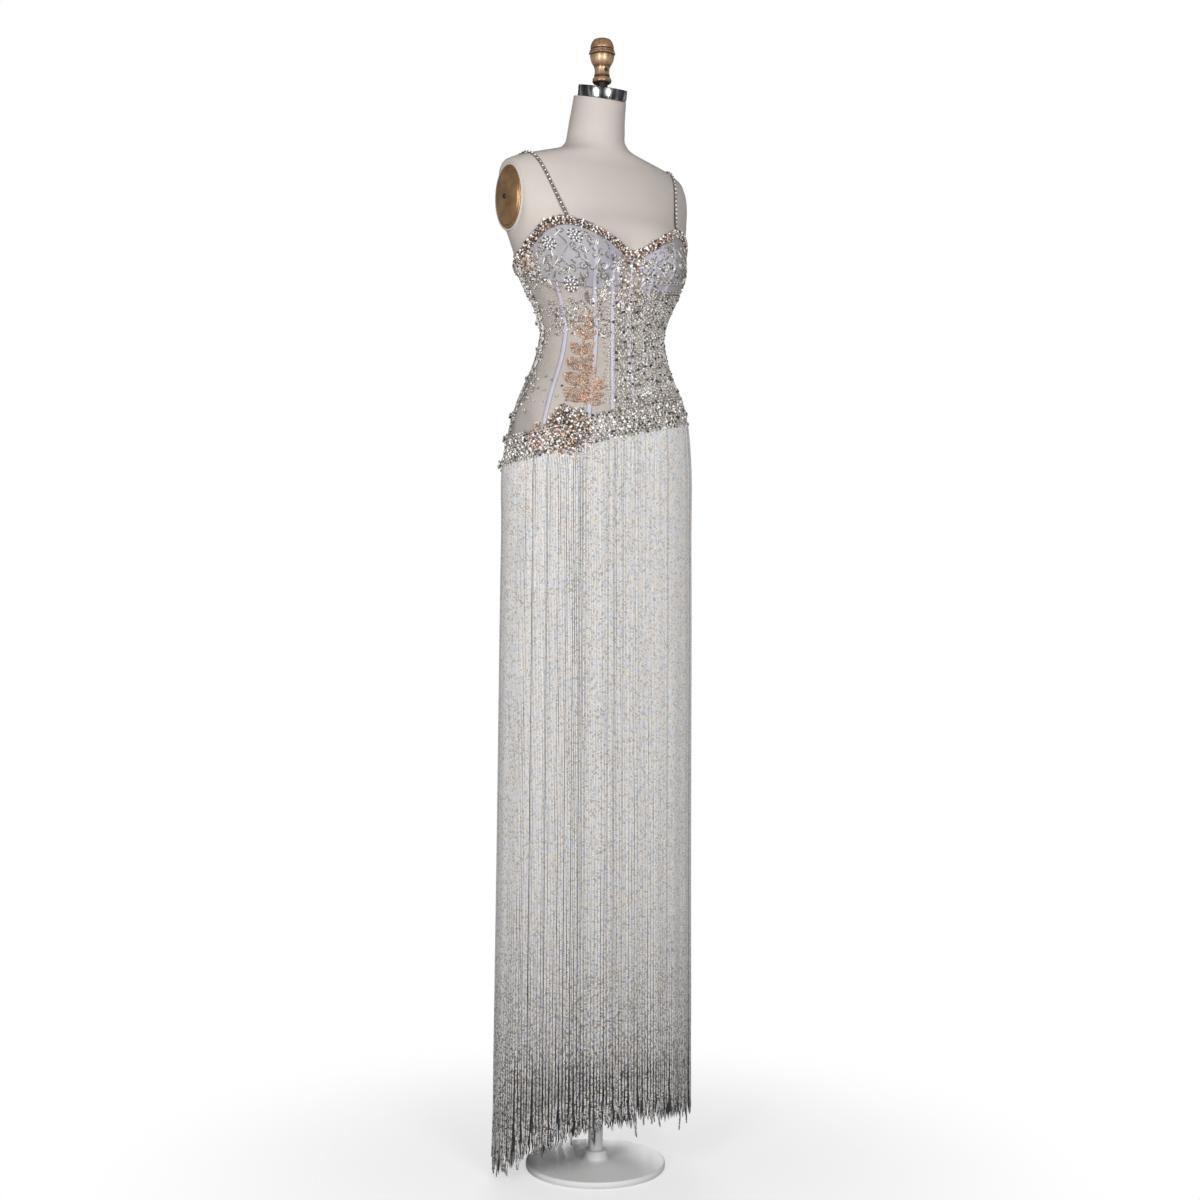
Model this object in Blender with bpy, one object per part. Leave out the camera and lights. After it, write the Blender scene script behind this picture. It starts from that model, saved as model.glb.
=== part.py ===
"""Beaded fringe evening gown on the limbless dress form that shows it.

Metres, +Z up. The form faces -Y and its left side is +X. The origin is on the
floor, under the axis of the stand's pole. Angles are in degrees round the body
from centre front, growing towards the form's left: -180 and 180 are centre back.

Every piece of cloth is a closed wall. Its corners are points of one body
surface, moved out to the layer that the piece lies in, so that the layers of
the gown follow the form and each other and never meet.
"""
import math
from collections import namedtuple

import bmesh
import bpy
import numpy as np
from mathutils import Matrix, Vector

GAP = 0.0003  # between two pieces that touch, and between two pieces at a seam

# Girths of the form, and of the skirt that hangs straight from its hips. The
# widest line of a girth lies at `middle`; front and back are its reach in Y.
Girth = namedtuple("Girth", "height half_width middle front back")
GIRTHS = (
    Girth(0.000, 0.1755, 0.0090, -0.1200, 0.1380),
    Girth(0.560, 0.1720, 0.0074, -0.1166, 0.1314),
    Girth(0.980, 0.1702, 0.0060, -0.1162, 0.1280),
    Girth(1.100, 0.1692, 0.0058, -0.1152, 0.1268),
    Girth(1.200, 0.1690, 0.0056, -0.1150, 0.1262),
    Girth(1.255, 0.1628, 0.0020, -0.1150, 0.1195),
    Girth(1.290, 0.1555, -0.0015, -0.1145, 0.1120),
    Girth(1.320, 0.1455, -0.0040, -0.1115, 0.1040),
    Girth(1.350, 0.1315, -0.0040, -0.1040, 0.0960),
    Girth(1.380, 0.1188, -0.0045, -0.0970, 0.0880),
    Girth(1.410, 0.1112, -0.0055, -0.0930, 0.0815),
    Girth(1.430, 0.1090, -0.0055, -0.0920, 0.0800),
    Girth(1.450, 0.1140, -0.0050, -0.0930, 0.0835),
    Girth(1.480, 0.1255, -0.0040, -0.0985, 0.0880),
    Girth(1.507, 0.1400, 0.0000, -0.1010, 0.0970),
    Girth(1.535, 0.1510, 0.0040, -0.1030, 0.1040),
    Girth(1.560, 0.1550, 0.0080, -0.1030, 0.1085),
    Girth(1.588, 0.1620, 0.0150, -0.0990, 0.1130),
    Girth(1.605, 0.1680, 0.0180, -0.0950, 0.1140),
    Girth(1.630, 0.1780, 0.0225, -0.0830, 0.1135),
    Girth(1.660, 0.1850, 0.0240, -0.0710, 0.1095),
    Girth(1.690, 0.1860, 0.0270, -0.0580, 0.1020),
    Girth(1.710, 0.1790, 0.0300, -0.0480, 0.0970),
    Girth(1.722, 0.1670, 0.0315, -0.0410, 0.0920),
    Girth(1.731, 0.1460, 0.0310, -0.0370, 0.0890),
    Girth(1.741, 0.1090, 0.0290, -0.0340, 0.0850),
    Girth(1.751, 0.0720, 0.0260, -0.0315, 0.0810),
    Girth(1.764, 0.0545, 0.0235, -0.0300, 0.0775),
    Girth(1.785, 0.0500, 0.0195, -0.0305, 0.0695),
    Girth(1.805, 0.0483, 0.0160, -0.0323, 0.0643),
    Girth(1.830, 0.0465, 0.0095, -0.0370, 0.0560),
    Girth(1.880, 0.0440, -0.0010, -0.0450, 0.0430),
)

BUST_HEIGHT = 1.545
BUST_SIDE = 0.085     # from the middle to each apex
BUST_REACH = 0.030
BUST_WIDTH = 0.052
BUST_SPREAD = 0.048   # up and down

# The gown's edges
BELT_FRONT = 1.254    # lower edge of the belt at centre front
BELT_TILT = 0.037     # it rises by this much to the left side, and falls as much to the right
BELT_FALL = 0.026     # it is this much lower at centre back
BELT_TALL = 0.045
UNDERSKIRT_HEM = 0.206
UNDERBUST_FRONT = 1.490
UNDERBUST_SIDE = 1.512
TRIM_TALL = 0.014

Edge = namedtuple("Edge", "angle height")
NECKLINE = (
    Edge(0, 1.557), Edge(10, 1.570), Edge(20, 1.587), Edge(30, 1.602), Edge(40, 1.611),
    Edge(52, 1.607), Edge(70, 1.582), Edge(90, 1.557), Edge(130, 1.545), Edge(180, 1.540),
)

FRINGE_HEM = (
    Edge(-180, 0.024), Edge(-110, 0.010), Edge(-80, 0.036), Edge(-60, 0.058), Edge(-35, 0.086),
    Edge(-12, 0.106), Edge(15, 0.104), Edge(50, 0.096), Edge(85, 0.080), Edge(130, 0.050),
    Edge(180, 0.024),
)

# Layers: how far the two faces of a wall lie off the form
CORSET = (0.0005, 0.0017)     # net panels, cups and underskirt
ON_CORSET = (0.0020, 0.0030)  # boning channels and placket
BEADED = (0.0020, 0.0050)     # belt and neckline trim
FRINGE = (0.0022, 0.0048)
STRAP = (0.0008, 0.0032)
FLUTES = 24                   # shallow folds round the fringe
FLUTE_DEEP = 0.0025           # at the hem

# Seams of the corset, on both sides, and the boning between them
STEP = 7.5
CENTRE_SEAM = 30
SIDE_FRONT_SEAM = 60
SIDE_BACK_SEAM = 105
CUP_INSIDE = 7.5
CUP_OUTSIDE = 75
BONES = (-142.5, -105, -60, -30, -15, 0, 15, 30, 60, 105, 142.5)
BONE_WIDE = 0.007
PLACKET_WIDE = 0.022

STRAP_WIDE = 0.0060
STRAP_FRONT = 0.105   # how far from the middle the strap starts, crosses and ends
STRAP_TOP = 0.139
STRAP_PEAK = 1.7345
STRAP_BACK = 0.080
STRAP_FRONT_ANGLE = 39
STRAP_BACK_ANGLE = 149
STRAP_CLEAR = 0.0009
STRAP_BEND = 0.10     # metres of path that a radian of bend counts for

ORNAMENT_ANGLE = -42
ORNAMENT_RADIUS = 0.044
ORNAMENT_OFF = 0.0053
ORNAMENT_DOME = 0.0085

# The dress form and its stand
UNDERSIDE = 1.020
UNDERSIDE_SLACK = 0.010       # how far the hips draw in under the skirt
NECK_TOP = Vector((0, 0.001, 1.8395))
NECK_TILT = math.radians(15)
CAP_RADIUS = 0.0430
CAP_TALL = 0.0190
POST_RADIUS = 0.0100
FINIAL_FOOT = 1.8660
PLATE_CENTRE = Vector((0.1665, 0.0225, 1.6555))
PLATE_YAW = math.radians(6)
PLATE_LEAN = math.radians(1.7)
PLATE_HALF_TALL = 0.0535
PLATE_HALF_WIDE = 0.0380
PLATE_THICK = 0.0090   # at the middle of its dome
SCREW_RADIUS = 0.0040
POLE_RADIUS = 0.0125
HUB_TOP = 0.030


# ---------------------------------------------------------------- the body

def smooth(table, column, height):
    """A column's value at a height, on a smooth curve through the table's rows."""
    xs = np.array([row[0] for row in table], dtype=float)
    ys = np.array([getattr(row, column) for row in table], dtype=float)
    slopes = np.gradient(ys, xs)
    i = int(np.clip(np.searchsorted(xs, height) - 1, 0, len(xs) - 2))
    span = xs[i + 1] - xs[i]
    s = (height - xs[i]) / span
    start = (1 + 2 * s) * (1 - s) ** 2 * ys[i] + s * (1 - s) ** 2 * span * slopes[i]
    end = s * s * (3 - 2 * s) * ys[i + 1] - s * s * (1 - s) * span * slopes[i + 1]
    return float(start + end)


def blend(low, high, share):
    return low + (high - low) * share


def depth(x, height, front):
    """Y of the body's surface at a distance x from the middle, on its front or its back."""
    middle = smooth(GIRTHS, "middle", height)
    reach = smooth(GIRTHS, "front" if front else "back", height) - middle
    round_off = math.sqrt(max(0.0, 1 - (x / smooth(GIRTHS, "half_width", height)) ** 2))
    bust = 0.0
    if front:
        aside = (abs(x) - BUST_SIDE) / BUST_WIDTH
        above = (height - BUST_HEIGHT) / BUST_SPREAD
        bust = BUST_REACH * math.exp(-aside * aside - above * above) * min(1.0, 2 * round_off)
    return middle + reach * round_off - bust


def surface(angle, height):
    turn = math.radians(angle)
    x = smooth(GIRTHS, "half_width", height) * math.sin(turn)
    return Vector((x, depth(x, height, math.cos(turn) > 0), height))


def cloth_frame(angle, height):
    """The surface's point with its unit directions: round the body, up it and out of it."""
    turn, rise = 0.5, 0.002
    across = surface(angle + turn, height) - surface(angle - turn, height)
    up = surface(angle, height + rise) - surface(angle, height - rise)
    out = across.cross(up).normalized()
    return surface(angle, height), across.normalized(), up.normalized(), out


def on_body(angle, height, slide=(0, 0, 0)):
    """The point at a slide (round, up, out) from the surface."""
    point, across, up, out = cloth_frame(angle, height)
    return point + across * slide[0] + up * slide[1] + out * slide[2]


# ---------------------------------------------------------------- edges and rows

def belt_low(angle):
    turn = math.radians(angle)
    return BELT_FRONT + BELT_TILT * math.sin(turn) - BELT_FALL * (1 - math.cos(turn)) / 2


def belt_high(angle):
    return belt_low(angle) + BELT_TALL


def underbust(angle):
    return blend(UNDERBUST_FRONT, UNDERBUST_SIDE, min(1.0, (angle / CUP_OUTSIDE) ** 2))


def neckline(angle):
    return smooth(NECKLINE, "height", abs(angle))


def trim_low(angle):
    return neckline(angle) - TRIM_TALL


def fringe_hem(angle):
    return smooth(FRINGE_HEM, "height", angle)


def level(height):
    return lambda angle: height


def between(low, high, shares):
    """Edges at shares of the way from one edge to another."""
    return [lambda angle, s=share: blend(low(angle), high(angle), s) for share in shares]


BELT_ROWS = between(belt_low, belt_high, (0, 0.5))
WAIST_ROWS = between(belt_high, underbust, (0, 1/7, 2/7, 3/7, 4/7, 5/7, 6/7))
CUP_ROWS = between(underbust, trim_low, (0, 1/3, 2/3))
TRIM_ROWS = [trim_low, neckline]
CORSET_ROWS = BELT_ROWS + WAIST_ROWS + CUP_ROWS + TRIM_ROWS
UNDERBUST_ROW = len(BELT_ROWS + WAIST_ROWS)
TOP_ROW = len(CORSET_ROWS) - 1
HIP_SHARES = (0, 0.25, 0.5, 0.75)
CHEST_ROWS = between(neckline, level(1.650), (0.3, 0.65))
SHOULDER_ROWS = [level(h) for h in (1.650, 1.672, 1.692, 1.708, 1.719, 1.728, 1.736, 1.744, 1.752,
                                    1.763, 1.782, 1.806, 1.832, 1.875)]
FORM_ROWS = (between(level(UNDERSIDE), belt_low, HIP_SHARES) + CORSET_ROWS
             + CHEST_ROWS + SHOULDER_ROWS)
SKIRT_ROWS = [level(0.60)] + [lambda angle, d=drop: belt_low(angle) - d
                              for drop in (0.16, 0.09, 0.05, 0.02, 0)]
UNDERSKIRT_ROWS = [level(UNDERSKIRT_HEM)] + SKIRT_ROWS
FRINGE_ROWS = [fringe_hem] + SKIRT_ROWS


# ---------------------------------------------------------------- making pieces

def paint(name, colour, roughness, metallic=0.0):
    material = bpy.data.materials.new(name)
    material.use_nodes = True
    shader = material.node_tree.nodes["Principled BSDF"]
    shader.inputs["Base Color"].default_value = (*colour, 1)
    shader.inputs["Roughness"].default_value = roughness
    shader.inputs["Metallic"].default_value = metallic
    material.diffuse_color = (*colour, 1)
    return material


def finish(name, bm, material, crease=30):
    bmesh.ops.recalc_face_normals(bm, faces=bm.faces[:])
    mesh = bpy.data.meshes.new(name)
    bm.to_mesh(mesh)
    bm.free()
    mesh.materials.append(material)
    mesh.shade_smooth()
    mesh.set_sharp_from_angle(angle=math.radians(crease))
    piece = bpy.data.objects.new(name, mesh)
    bpy.context.scene.collection.objects.link(piece)
    return piece


def sheet(bm, cells, columns, place):
    """Faces over grid cells (row, column); place gives a corner's point from its key and inset.

    The inset is which way the corner moves to leave a seam free: -1, 0 or 1 round the body and up.
    """
    corners = {}

    def corner(row, column):
        key = (row, column % columns)
        if key not in corners:
            def filled(r, c):
                return (r, c % columns) in cells
            right = filled(row, column) or filled(row - 1, column)
            left = filled(row, column - 1) or filled(row - 1, column - 1)
            above = filled(row, column) or filled(row, column - 1)
            below = filled(row - 1, column) or filled(row - 1, column - 1)
            corners[key] = bm.verts.new(place(*key, int(right) - int(left), int(above) - int(below)))
        return corners[key]

    for row, column in sorted(cells):
        bm.faces.new((corner(row, column), corner(row, column + 1),
                      corner(row + 1, column + 1), corner(row + 1, column)))


def wall(name, rows, patches, layer, material, step=STEP, swell=None):
    """A cloth wall on the body: patches are (low row, high row, from angle, to angle)."""
    columns = round(360 / step)
    cells = {(row, column % columns)
             for low, high, start, end in patches
             for row in range(low, high)
             for column in range(round((start + 180) / step), round((end + 180) / step))}
    bm = bmesh.new()
    tag = bm.verts.layers.int.new("corner")
    places = []

    def place(row, column, sideways, upward):
        angle = column * step - 180
        height = rows[row](angle)
        extra = swell(angle, height) if swell else 0.0
        places.append((angle, height, sideways * GAP / 2, upward * GAP / 2, extra))
        return corner_at(places[-1], layer[0])

    def corner_at(corner, out):
        angle, height, sideways, upward, extra = corner
        return on_body(angle, height, (sideways, upward, out + extra))

    sheet(bm, cells, columns, place)
    bm.verts.ensure_lookup_table()
    for number, vert in enumerate(bm.verts):
        vert[tag] = number
    thicken(bm, lambda vert: corner_at(places[vert[tag]], layer[1]))
    return finish(name, bm, material)


def thicken(bm, outer_point):
    """Close an inner face into a wall, with its outer face where outer_point puts each corner."""
    grown = bmesh.ops.extrude_face_region(bm, geom=bm.faces[:], use_keep_orig=True)["geom"]
    for vert in (part for part in grown if isinstance(part, bmesh.types.BMVert)):
        vert.co = outer_point(vert)


def strip(name, angle, low, high, width, layer, material):
    """A narrow band up the body, over the corset's rows from low to high."""
    inside = [row for row in CORSET_ROWS if low(angle) + 0.001 < row(angle) < high(angle) - 0.001]
    rows = [lambda a: low(a) + GAP, *inside, lambda a: high(a) - GAP]
    bm = bmesh.new()
    tag = bm.verts.layers.int.new("corner")
    places = []
    for row in rows:
        rate = (surface(angle + 1, row(angle)) - surface(angle, row(angle))).length
        places += [(aside, row(aside)) for aside in
                   (angle - width / 2 / rate, angle, angle + width / 2 / rate)]
    verts = [bm.verts.new(on_body(*place, (0, 0, layer[0]))) for place in places]
    for number, vert in enumerate(verts):
        vert[tag] = number
    for first in range(len(verts) - 3):
        if first % 3 < 2:
            bm.faces.new([verts[first + n] for n in (0, 1, 4, 3)])
    thicken(bm, lambda vert: on_body(*places[vert[tag]], (0, 0, layer[1])))
    return finish(name, bm, material)


def turned_mesh(profile, segments):
    """A lathe-turned solid about +Z, from (radius, height) rows that start and end on the axis."""
    bm = bmesh.new()
    points = [bm.verts.new((radius, 0, height)) for radius, height in profile]
    edges = [bm.edges.new(pair) for pair in zip(points, points[1:])]
    bmesh.ops.spin(bm, geom=points + edges, cent=(0, 0, 0), axis=(0, 0, 1), angle=math.tau,
                   steps=segments, use_merge=True)
    bmesh.ops.remove_doubles(bm, verts=bm.verts[:], dist=1e-6)
    return bm


def turned(name, profile, material, segments, place=Matrix.Identity(4)):
    bm = turned_mesh(profile, segments)
    bm.transform(place)
    return finish(name, bm, material)


def cut(bm, point, normal, geometry=None):
    """Cut away what lies beyond a plane and close the solid with a flat face there."""
    geometry = geometry or bm.verts[:] + bm.edges[:] + bm.faces[:]
    made = bmesh.ops.bisect_plane(bm, geom=geometry, plane_co=point, plane_no=normal,
                                  dist=1e-6, clear_outer=True)["geom_cut"]
    rim = [part for part in made if isinstance(part, bmesh.types.BMEdge)]
    bmesh.ops.holes_fill(bm, edges=rim, sides=0)


# ---------------------------------------------------------------- the dress form

def hip_slack(angle, height):
    share = min(1.0, max(0.0, (belt_low(angle) - height) / (belt_low(angle) - UNDERSIDE)))
    return -UNDERSIDE_SLACK * share * share


def plate_place(side):
    """Where an arm plate's centre lies: its own +Z points out of the shoulder."""
    out = Vector((side * math.cos(PLATE_YAW) * math.cos(PLATE_LEAN),
                  -math.sin(PLATE_YAW) * math.cos(PLATE_LEAN), -math.sin(PLATE_LEAN)))
    up = (Vector((0, 0, 1)) - out * out.z).normalized()
    turn = Matrix((up.cross(out), up, out)).transposed().to_4x4()
    return Matrix.Translation((side * PLATE_CENTRE.x, PLATE_CENTRE.y, PLATE_CENTRE.z)) @ turn


def form_torso(material):
    """Hips to neck as one smooth solid, cut flat for the arm plates and the neck cap."""
    columns = round(360 / STEP)
    bm = bmesh.new()

    def place(row, column, sideways, upward):
        angle = column * STEP - 180
        height = FORM_ROWS[row](angle)
        return on_body(angle, height, (0, 0, hip_slack(angle, height)))

    cells = {(row, column) for row in range(len(FORM_ROWS) - 1) for column in range(columns)}
    sheet(bm, cells, columns, place)
    bmesh.ops.holes_fill(bm, edges=[edge for edge in bm.edges if edge.is_boundary], sides=0)
    cut(bm, NECK_TOP, Matrix.Rotation(NECK_TILT, 3, "X") @ Vector((0, 0, 1)))
    for side in (-1, 1):
        plate = plate_place(side)
        shoulder = {face for face in bm.faces
                    if face.calc_center_median().x * side > 0.1
                    and 1.56 < face.calc_center_median().z < 1.74}
        edges = {edge for face in shoulder for edge in face.edges}
        verts = {vert for face in shoulder for vert in face.verts}
        cut(bm, plate.translation, plate.col[2].to_3d(), [*verts, *edges, *shoulder])
    return finish("form_torso", bm, material, crease=40)


def arm_plate(name, side, material):
    bm = turned_mesh(((0, GAP), (0.94, GAP), (1, 0.0012), (0.985, 0.0026), (0.93, 0.0032),
                      (0.90, 0.0028), (0.75, PLATE_THICK * 0.56), (0.5, PLATE_THICK * 0.82),
                      (0.25, PLATE_THICK * 0.96), (0, PLATE_THICK)), 32)
    bm.transform(Matrix.Diagonal((PLATE_HALF_WIDE, PLATE_HALF_TALL, 1, 1)))
    bm.transform(plate_place(side))
    return finish(name, bm, material)


def arm_screw(name, side, material):
    seat = PLATE_THICK + GAP
    profile = ((0, seat), (SCREW_RADIUS, seat), (SCREW_RADIUS * 0.8, seat + 0.0012), (0, seat + 0.0018))
    return turned(name, profile, material, 16, plate_place(side))


def dress_form():
    skin = paint("form_skin", (0.61, 0.55, 0.50), 0.75)
    steel = paint("polished_steel", (0.55, 0.55, 0.55), 0.2, 1.0)
    bronze = paint("arm_plate_bronze", (0.24, 0.13, 0.05), 0.4, 0.6)
    gilt = paint("finial_gilt", (0.42, 0.24, 0.10), 0.4, 0.5)
    dark = paint("dark_post", (0.03, 0.03, 0.03), 0.4, 0.6)
    base_white = paint("stand_base_white", (0.80, 0.80, 0.79), 0.45)
    pole_white = paint("stand_pole_white", (0.80, 0.80, 0.79), 0.45)

    form_torso(skin)
    tilt = Matrix.Translation(NECK_TOP) @ Matrix.Rotation(NECK_TILT, 4, "X")
    radius = CAP_RADIUS
    turned("neck_cap", ((0, GAP), (radius - 0.0005, GAP), (radius, 0.0008), (radius, CAP_TALL - 0.0012),
                        (radius - 0.0012, CAP_TALL), (0, CAP_TALL)), steel, 40, tilt)
    post = turned_mesh(((0, NECK_TOP.z), (POST_RADIUS, NECK_TOP.z),
                        (POST_RADIUS, FINIAL_FOOT - GAP), (0, FINIAL_FOOT - GAP)), 20)
    cut(post, tilt @ Vector((0, 0, CAP_TALL + GAP)), tilt.to_3x3() @ Vector((0, 0, -1)))
    finish("finial_post", post, dark)
    finial = ((0, 0), (0.0150, 0), (0.0166, 0.0016), (0.0168, 0.0050), (0.0150, 0.0080),
              (0.0138, 0.0110), (0.0130, 0.0160), (0.0130, 0.0220), (0.0142, 0.0265),
              (0.0170, 0.0310), (0.0202, 0.0370), (0.0222, 0.0430), (0.0232, 0.0480),
              (0.0234, 0.0515), (0.0222, 0.0532), (0.0222, 0.0546), (0.0228, 0.0560),
              (0.0216, 0.0580), (0.0210, 0.0640), (0.0196, 0.0700), (0.0180, 0.0735),
              (0.0140, 0.0756), (0, 0.0764))
    turned("finial", finial, gilt, 24, Matrix.Translation((0, 0, FINIAL_FOOT)))
    for side, word in ((-1, "right"), (1, "left")):
        arm_plate("arm_plate_" + word, side, bronze)
        arm_screw("arm_plate_screw_" + word, side, steel)

    base = ((0, 0), (0.1170, 0), (0.1200, 0.0030), (0.1200, 0.0085), (0.1180, 0.0110),
            (0.0280, 0.0130), (0.0215, 0.0160), (0.0200, 0.0200), (0.0200, HUB_TOP - 0.002),
            (0.0180, HUB_TOP), (0, HUB_TOP))
    turned("stand_base", base, base_white, 40)
    turned("stand_pole", ((0, HUB_TOP + GAP), (POLE_RADIUS, HUB_TOP + GAP),
                          (POLE_RADIUS, UNDERSIDE - GAP), (0, UNDERSIDE - GAP)), pole_white, 20)


# ---------------------------------------------------------------- the gown

def corset():
    net = paint("nude_net", (0.60, 0.54, 0.50), 0.7)
    lilac = paint("lilac_lining", (0.50, 0.50, 0.58), 0.6)
    bones = paint("boning_tape", (0.58, 0.57, 0.66), 0.5)
    low, high, top = 0, UNDERBUST_ROW, TOP_ROW

    wall("bodice_centre_front", CORSET_ROWS,
         [(low, high, -CENTRE_SEAM, CENTRE_SEAM), (high, top, -CUP_INSIDE, CUP_INSIDE)], CORSET, net)
    for side, word in ((-1, "right"), (1, "left")):
        def both(*angles, side=side):
            return sorted(side * angle for angle in angles)
        wall("bodice_side_front_" + word, CORSET_ROWS,
             [(low, high, *both(CENTRE_SEAM, SIDE_FRONT_SEAM))], CORSET, net)
        wall("bodice_side_" + word, CORSET_ROWS,
             [(low, high, *both(SIDE_FRONT_SEAM, SIDE_BACK_SEAM)),
              (high, top, *both(CUP_OUTSIDE, SIDE_BACK_SEAM))], CORSET, net)
        wall("bodice_back_" + word, CORSET_ROWS,
             [(low, top, *both(SIDE_BACK_SEAM, 180))], CORSET, net)
        wall("cup_" + word, CORSET_ROWS,
             [(high, top, *both(CUP_INSIDE, CUP_OUTSIDE))], CORSET, lilac)
    for number, angle in enumerate(BONES, start=1):
        over_cup = CUP_INSIDE < abs(angle) < CUP_OUTSIDE
        end = underbust if over_cup else trim_low
        strip("boning_%02d" % number, angle, belt_high, end, BONE_WIDE, ON_CORSET, bones)
    strip("back_placket", 180, belt_high, trim_low, PLACKET_WIDE, ON_CORSET, net)


def beaded_bands():
    beads = paint("silver_beads", (0.38, 0.36, 0.33), 0.35, 0.4)
    rose = paint("rose_gold_beads", (0.50, 0.36, 0.30), 0.35, 0.4)
    trim_row = CORSET_ROWS.index(trim_low)
    for side, word in ((-1, "right"), (1, "left")):
        front, side_seam, back = sorted((0, side * 90)), side * 90, side * 180
        wall("neckline_trim_front_" + word, CORSET_ROWS, [(trim_row, TOP_ROW, *front)], BEADED, rose)
        wall("neckline_trim_back_" + word, CORSET_ROWS,
             [(trim_row, TOP_ROW, *sorted((side_seam, back)))], BEADED, rose)
        wall("belt_" + word, CORSET_ROWS, [(0, 2, *sorted((0, back)))], BEADED, beads)
        strap("strap_" + word, side, beads)
    belt_ornament(rose)


def ridge_path(side, steps=90):
    """Points and normals over the shoulder, from the front neckline to the back one."""
    def climb(x_end, start, front):
        path = []
        for height in np.linspace(start, STRAP_PEAK, steps):
            x = blend(x_end, STRAP_TOP, (height - start) / (STRAP_PEAK - start))
            half_width = smooth(GIRTHS, "half_width", height)
            if x >= half_width:
                break
            angle = math.degrees(math.asin(x / half_width))
            point, _, _, out = cloth_frame(side * (angle if front else 180 - angle), float(height))
            path.append((*point, *out))
        return path

    front = climb(STRAP_FRONT, neckline(STRAP_FRONT_ANGLE) + STRAP_CLEAR, True)
    back = climb(STRAP_BACK, neckline(STRAP_BACK_ANGLE) + STRAP_CLEAR, False)
    return front + back[::-1]


def taut(path):
    """The path of a string pulled tight over the points, from the first to the last, in Y and Z."""
    hull = []
    for point in path:
        while len(hull) > 1:
            (_, y1, z1, *_), (_, y2, z2, *_) = hull[-2:]
            if (y2 - y1) * (point[2] - z1) < (z2 - z1) * (point[1] - y1):
                break
            hull.pop()
        hull.append(point)
    return hull


def evenly(path, count):
    """The path's points and normals again, in fewer steps that shorten where it bends."""
    rows = np.array(path)
    legs = np.diff(rows[:, :3], axis=0)
    steps = np.linalg.norm(legs, axis=1)
    ways = legs / steps[:, None]
    bends = np.arccos(np.clip((ways[:-1] * ways[1:]).sum(axis=1), -1, 1))
    along = np.concatenate(([0.0], np.cumsum(steps + STRAP_BEND * np.append(bends, 0.0))))
    marks = np.linspace(0, along[-1], count)
    even = np.array([np.interp(marks, along, rows[:, i]) for i in range(6)]).T
    return [(Vector(row[:3]), Vector(row[3:])) for row in even]


def strap(name, side, material, count=34):
    path = evenly(taut(ridge_path(side)), count)
    half = STRAP_WIDE / 2
    low, edge, high = STRAP[0], blend(*STRAP, 0.5), STRAP[1]
    section = ((-half, low), (half, low), (half, edge), (half / 2, high), (-half / 2, high), (-half, edge))
    bm = bmesh.new()
    rings = []
    for number, (point, normal) in enumerate(path):
        ahead = path[min(number + 1, count - 1)][0] - path[max(number - 1, 0)][0]
        across = ahead.cross(normal).normalized()
        out = across.cross(ahead).normalized()
        rings.append([bm.verts.new(point + across * a + out * b) for a, b in section])
    for near, far in zip(rings, rings[1:]):
        for a in range(len(near)):
            b = (a + 1) % len(near)
            bm.faces.new((near[a], near[b], far[b], far[a]))
    bm.faces.new(rings[0])
    bm.faces.new(rings[-1])
    return finish(name, bm, material)


def belt_ornament(material):
    """A domed rosette over the belt, bent to the body."""
    radius, rim, top = ORNAMENT_RADIUS, 0.0030, ORNAMENT_DOME
    profile = ((0, 0), (0.35, 0), (0.7, 0), (0.96, 0), (1, rim * 0.5), (0.95, rim),
               (0.66, rim * 1.1), (0.5, top * 0.75), (0.24, top * 0.95), (0, top))
    bm = turned_mesh([(r * radius, h) for r, h in profile], 32)
    height = belt_low(ORNAMENT_ANGLE) + BELT_TALL / 2
    rate = (surface(ORNAMENT_ANGLE + 1, height) - surface(ORNAMENT_ANGLE, height)).length
    for vert in bm.verts:
        petal = 1 + 0.05 * math.cos(8 * math.atan2(vert.co.y, vert.co.x))
        across, up = vert.co.x * petal, vert.co.y * petal
        vert.co = on_body(ORNAMENT_ANGLE + across / rate, height + up,
                          (0, 0, ORNAMENT_OFF + vert.co.z))
    return finish("belt_ornament", bm, material)


def skirts():
    lining = paint("underskirt_cloth", (0.46, 0.44, 0.44), 0.7)
    beads = paint("fringe_beads", (0.58, 0.56, 0.55), 0.4, 0.1)

    def flute(angle, height):
        share = max(0.0, min(1.0, 1 - height / BELT_FRONT))
        return FLUTE_DEEP * share * (0.5 + 0.5 * math.cos(math.radians(FLUTES * angle)))

    last = len(UNDERSKIRT_ROWS) - 1
    for name, start, end in (("underskirt_front", -90, 90), ("underskirt_back", 90, 270)):
        wall(name, UNDERSKIRT_ROWS, [(0, last, start, end)], CORSET, lining)
    last = len(FRINGE_ROWS) - 1
    for name, start, end in (("fringe_front_right", -90, 0), ("fringe_front_left", 0, 90),
                             ("fringe_back_left", 90, 180), ("fringe_back_right", -180, -90)):
        wall(name, FRINGE_ROWS, [(0, last, start, end)], FRINGE, beads, STEP / 2, flute)


def main():
    for thing in list(bpy.data.objects):
        bpy.data.objects.remove(thing, do_unlink=True)
    dress_form()
    corset()
    beaded_bands()
    skirts()


main()
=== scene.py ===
"""The looks of a beaded fringe evening gown on the dress form that shows it.

Metres, +Z up. The form faces -Y and its left side is +X. The origin is on the
floor, under the axis of the stand's pole. Angles are in degrees round the body
from centre front, growing towards the form's left: -180 and 180 are centre back.

Cloth is a thin shell on the body's surface. Beads and stones are joined meshes:
one small shape, repeated at seats that lie on the cloth.
"""

import math
from collections import namedtuple

import bmesh
import bpy
import numpy as np
from mathutils import Matrix, Vector


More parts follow.
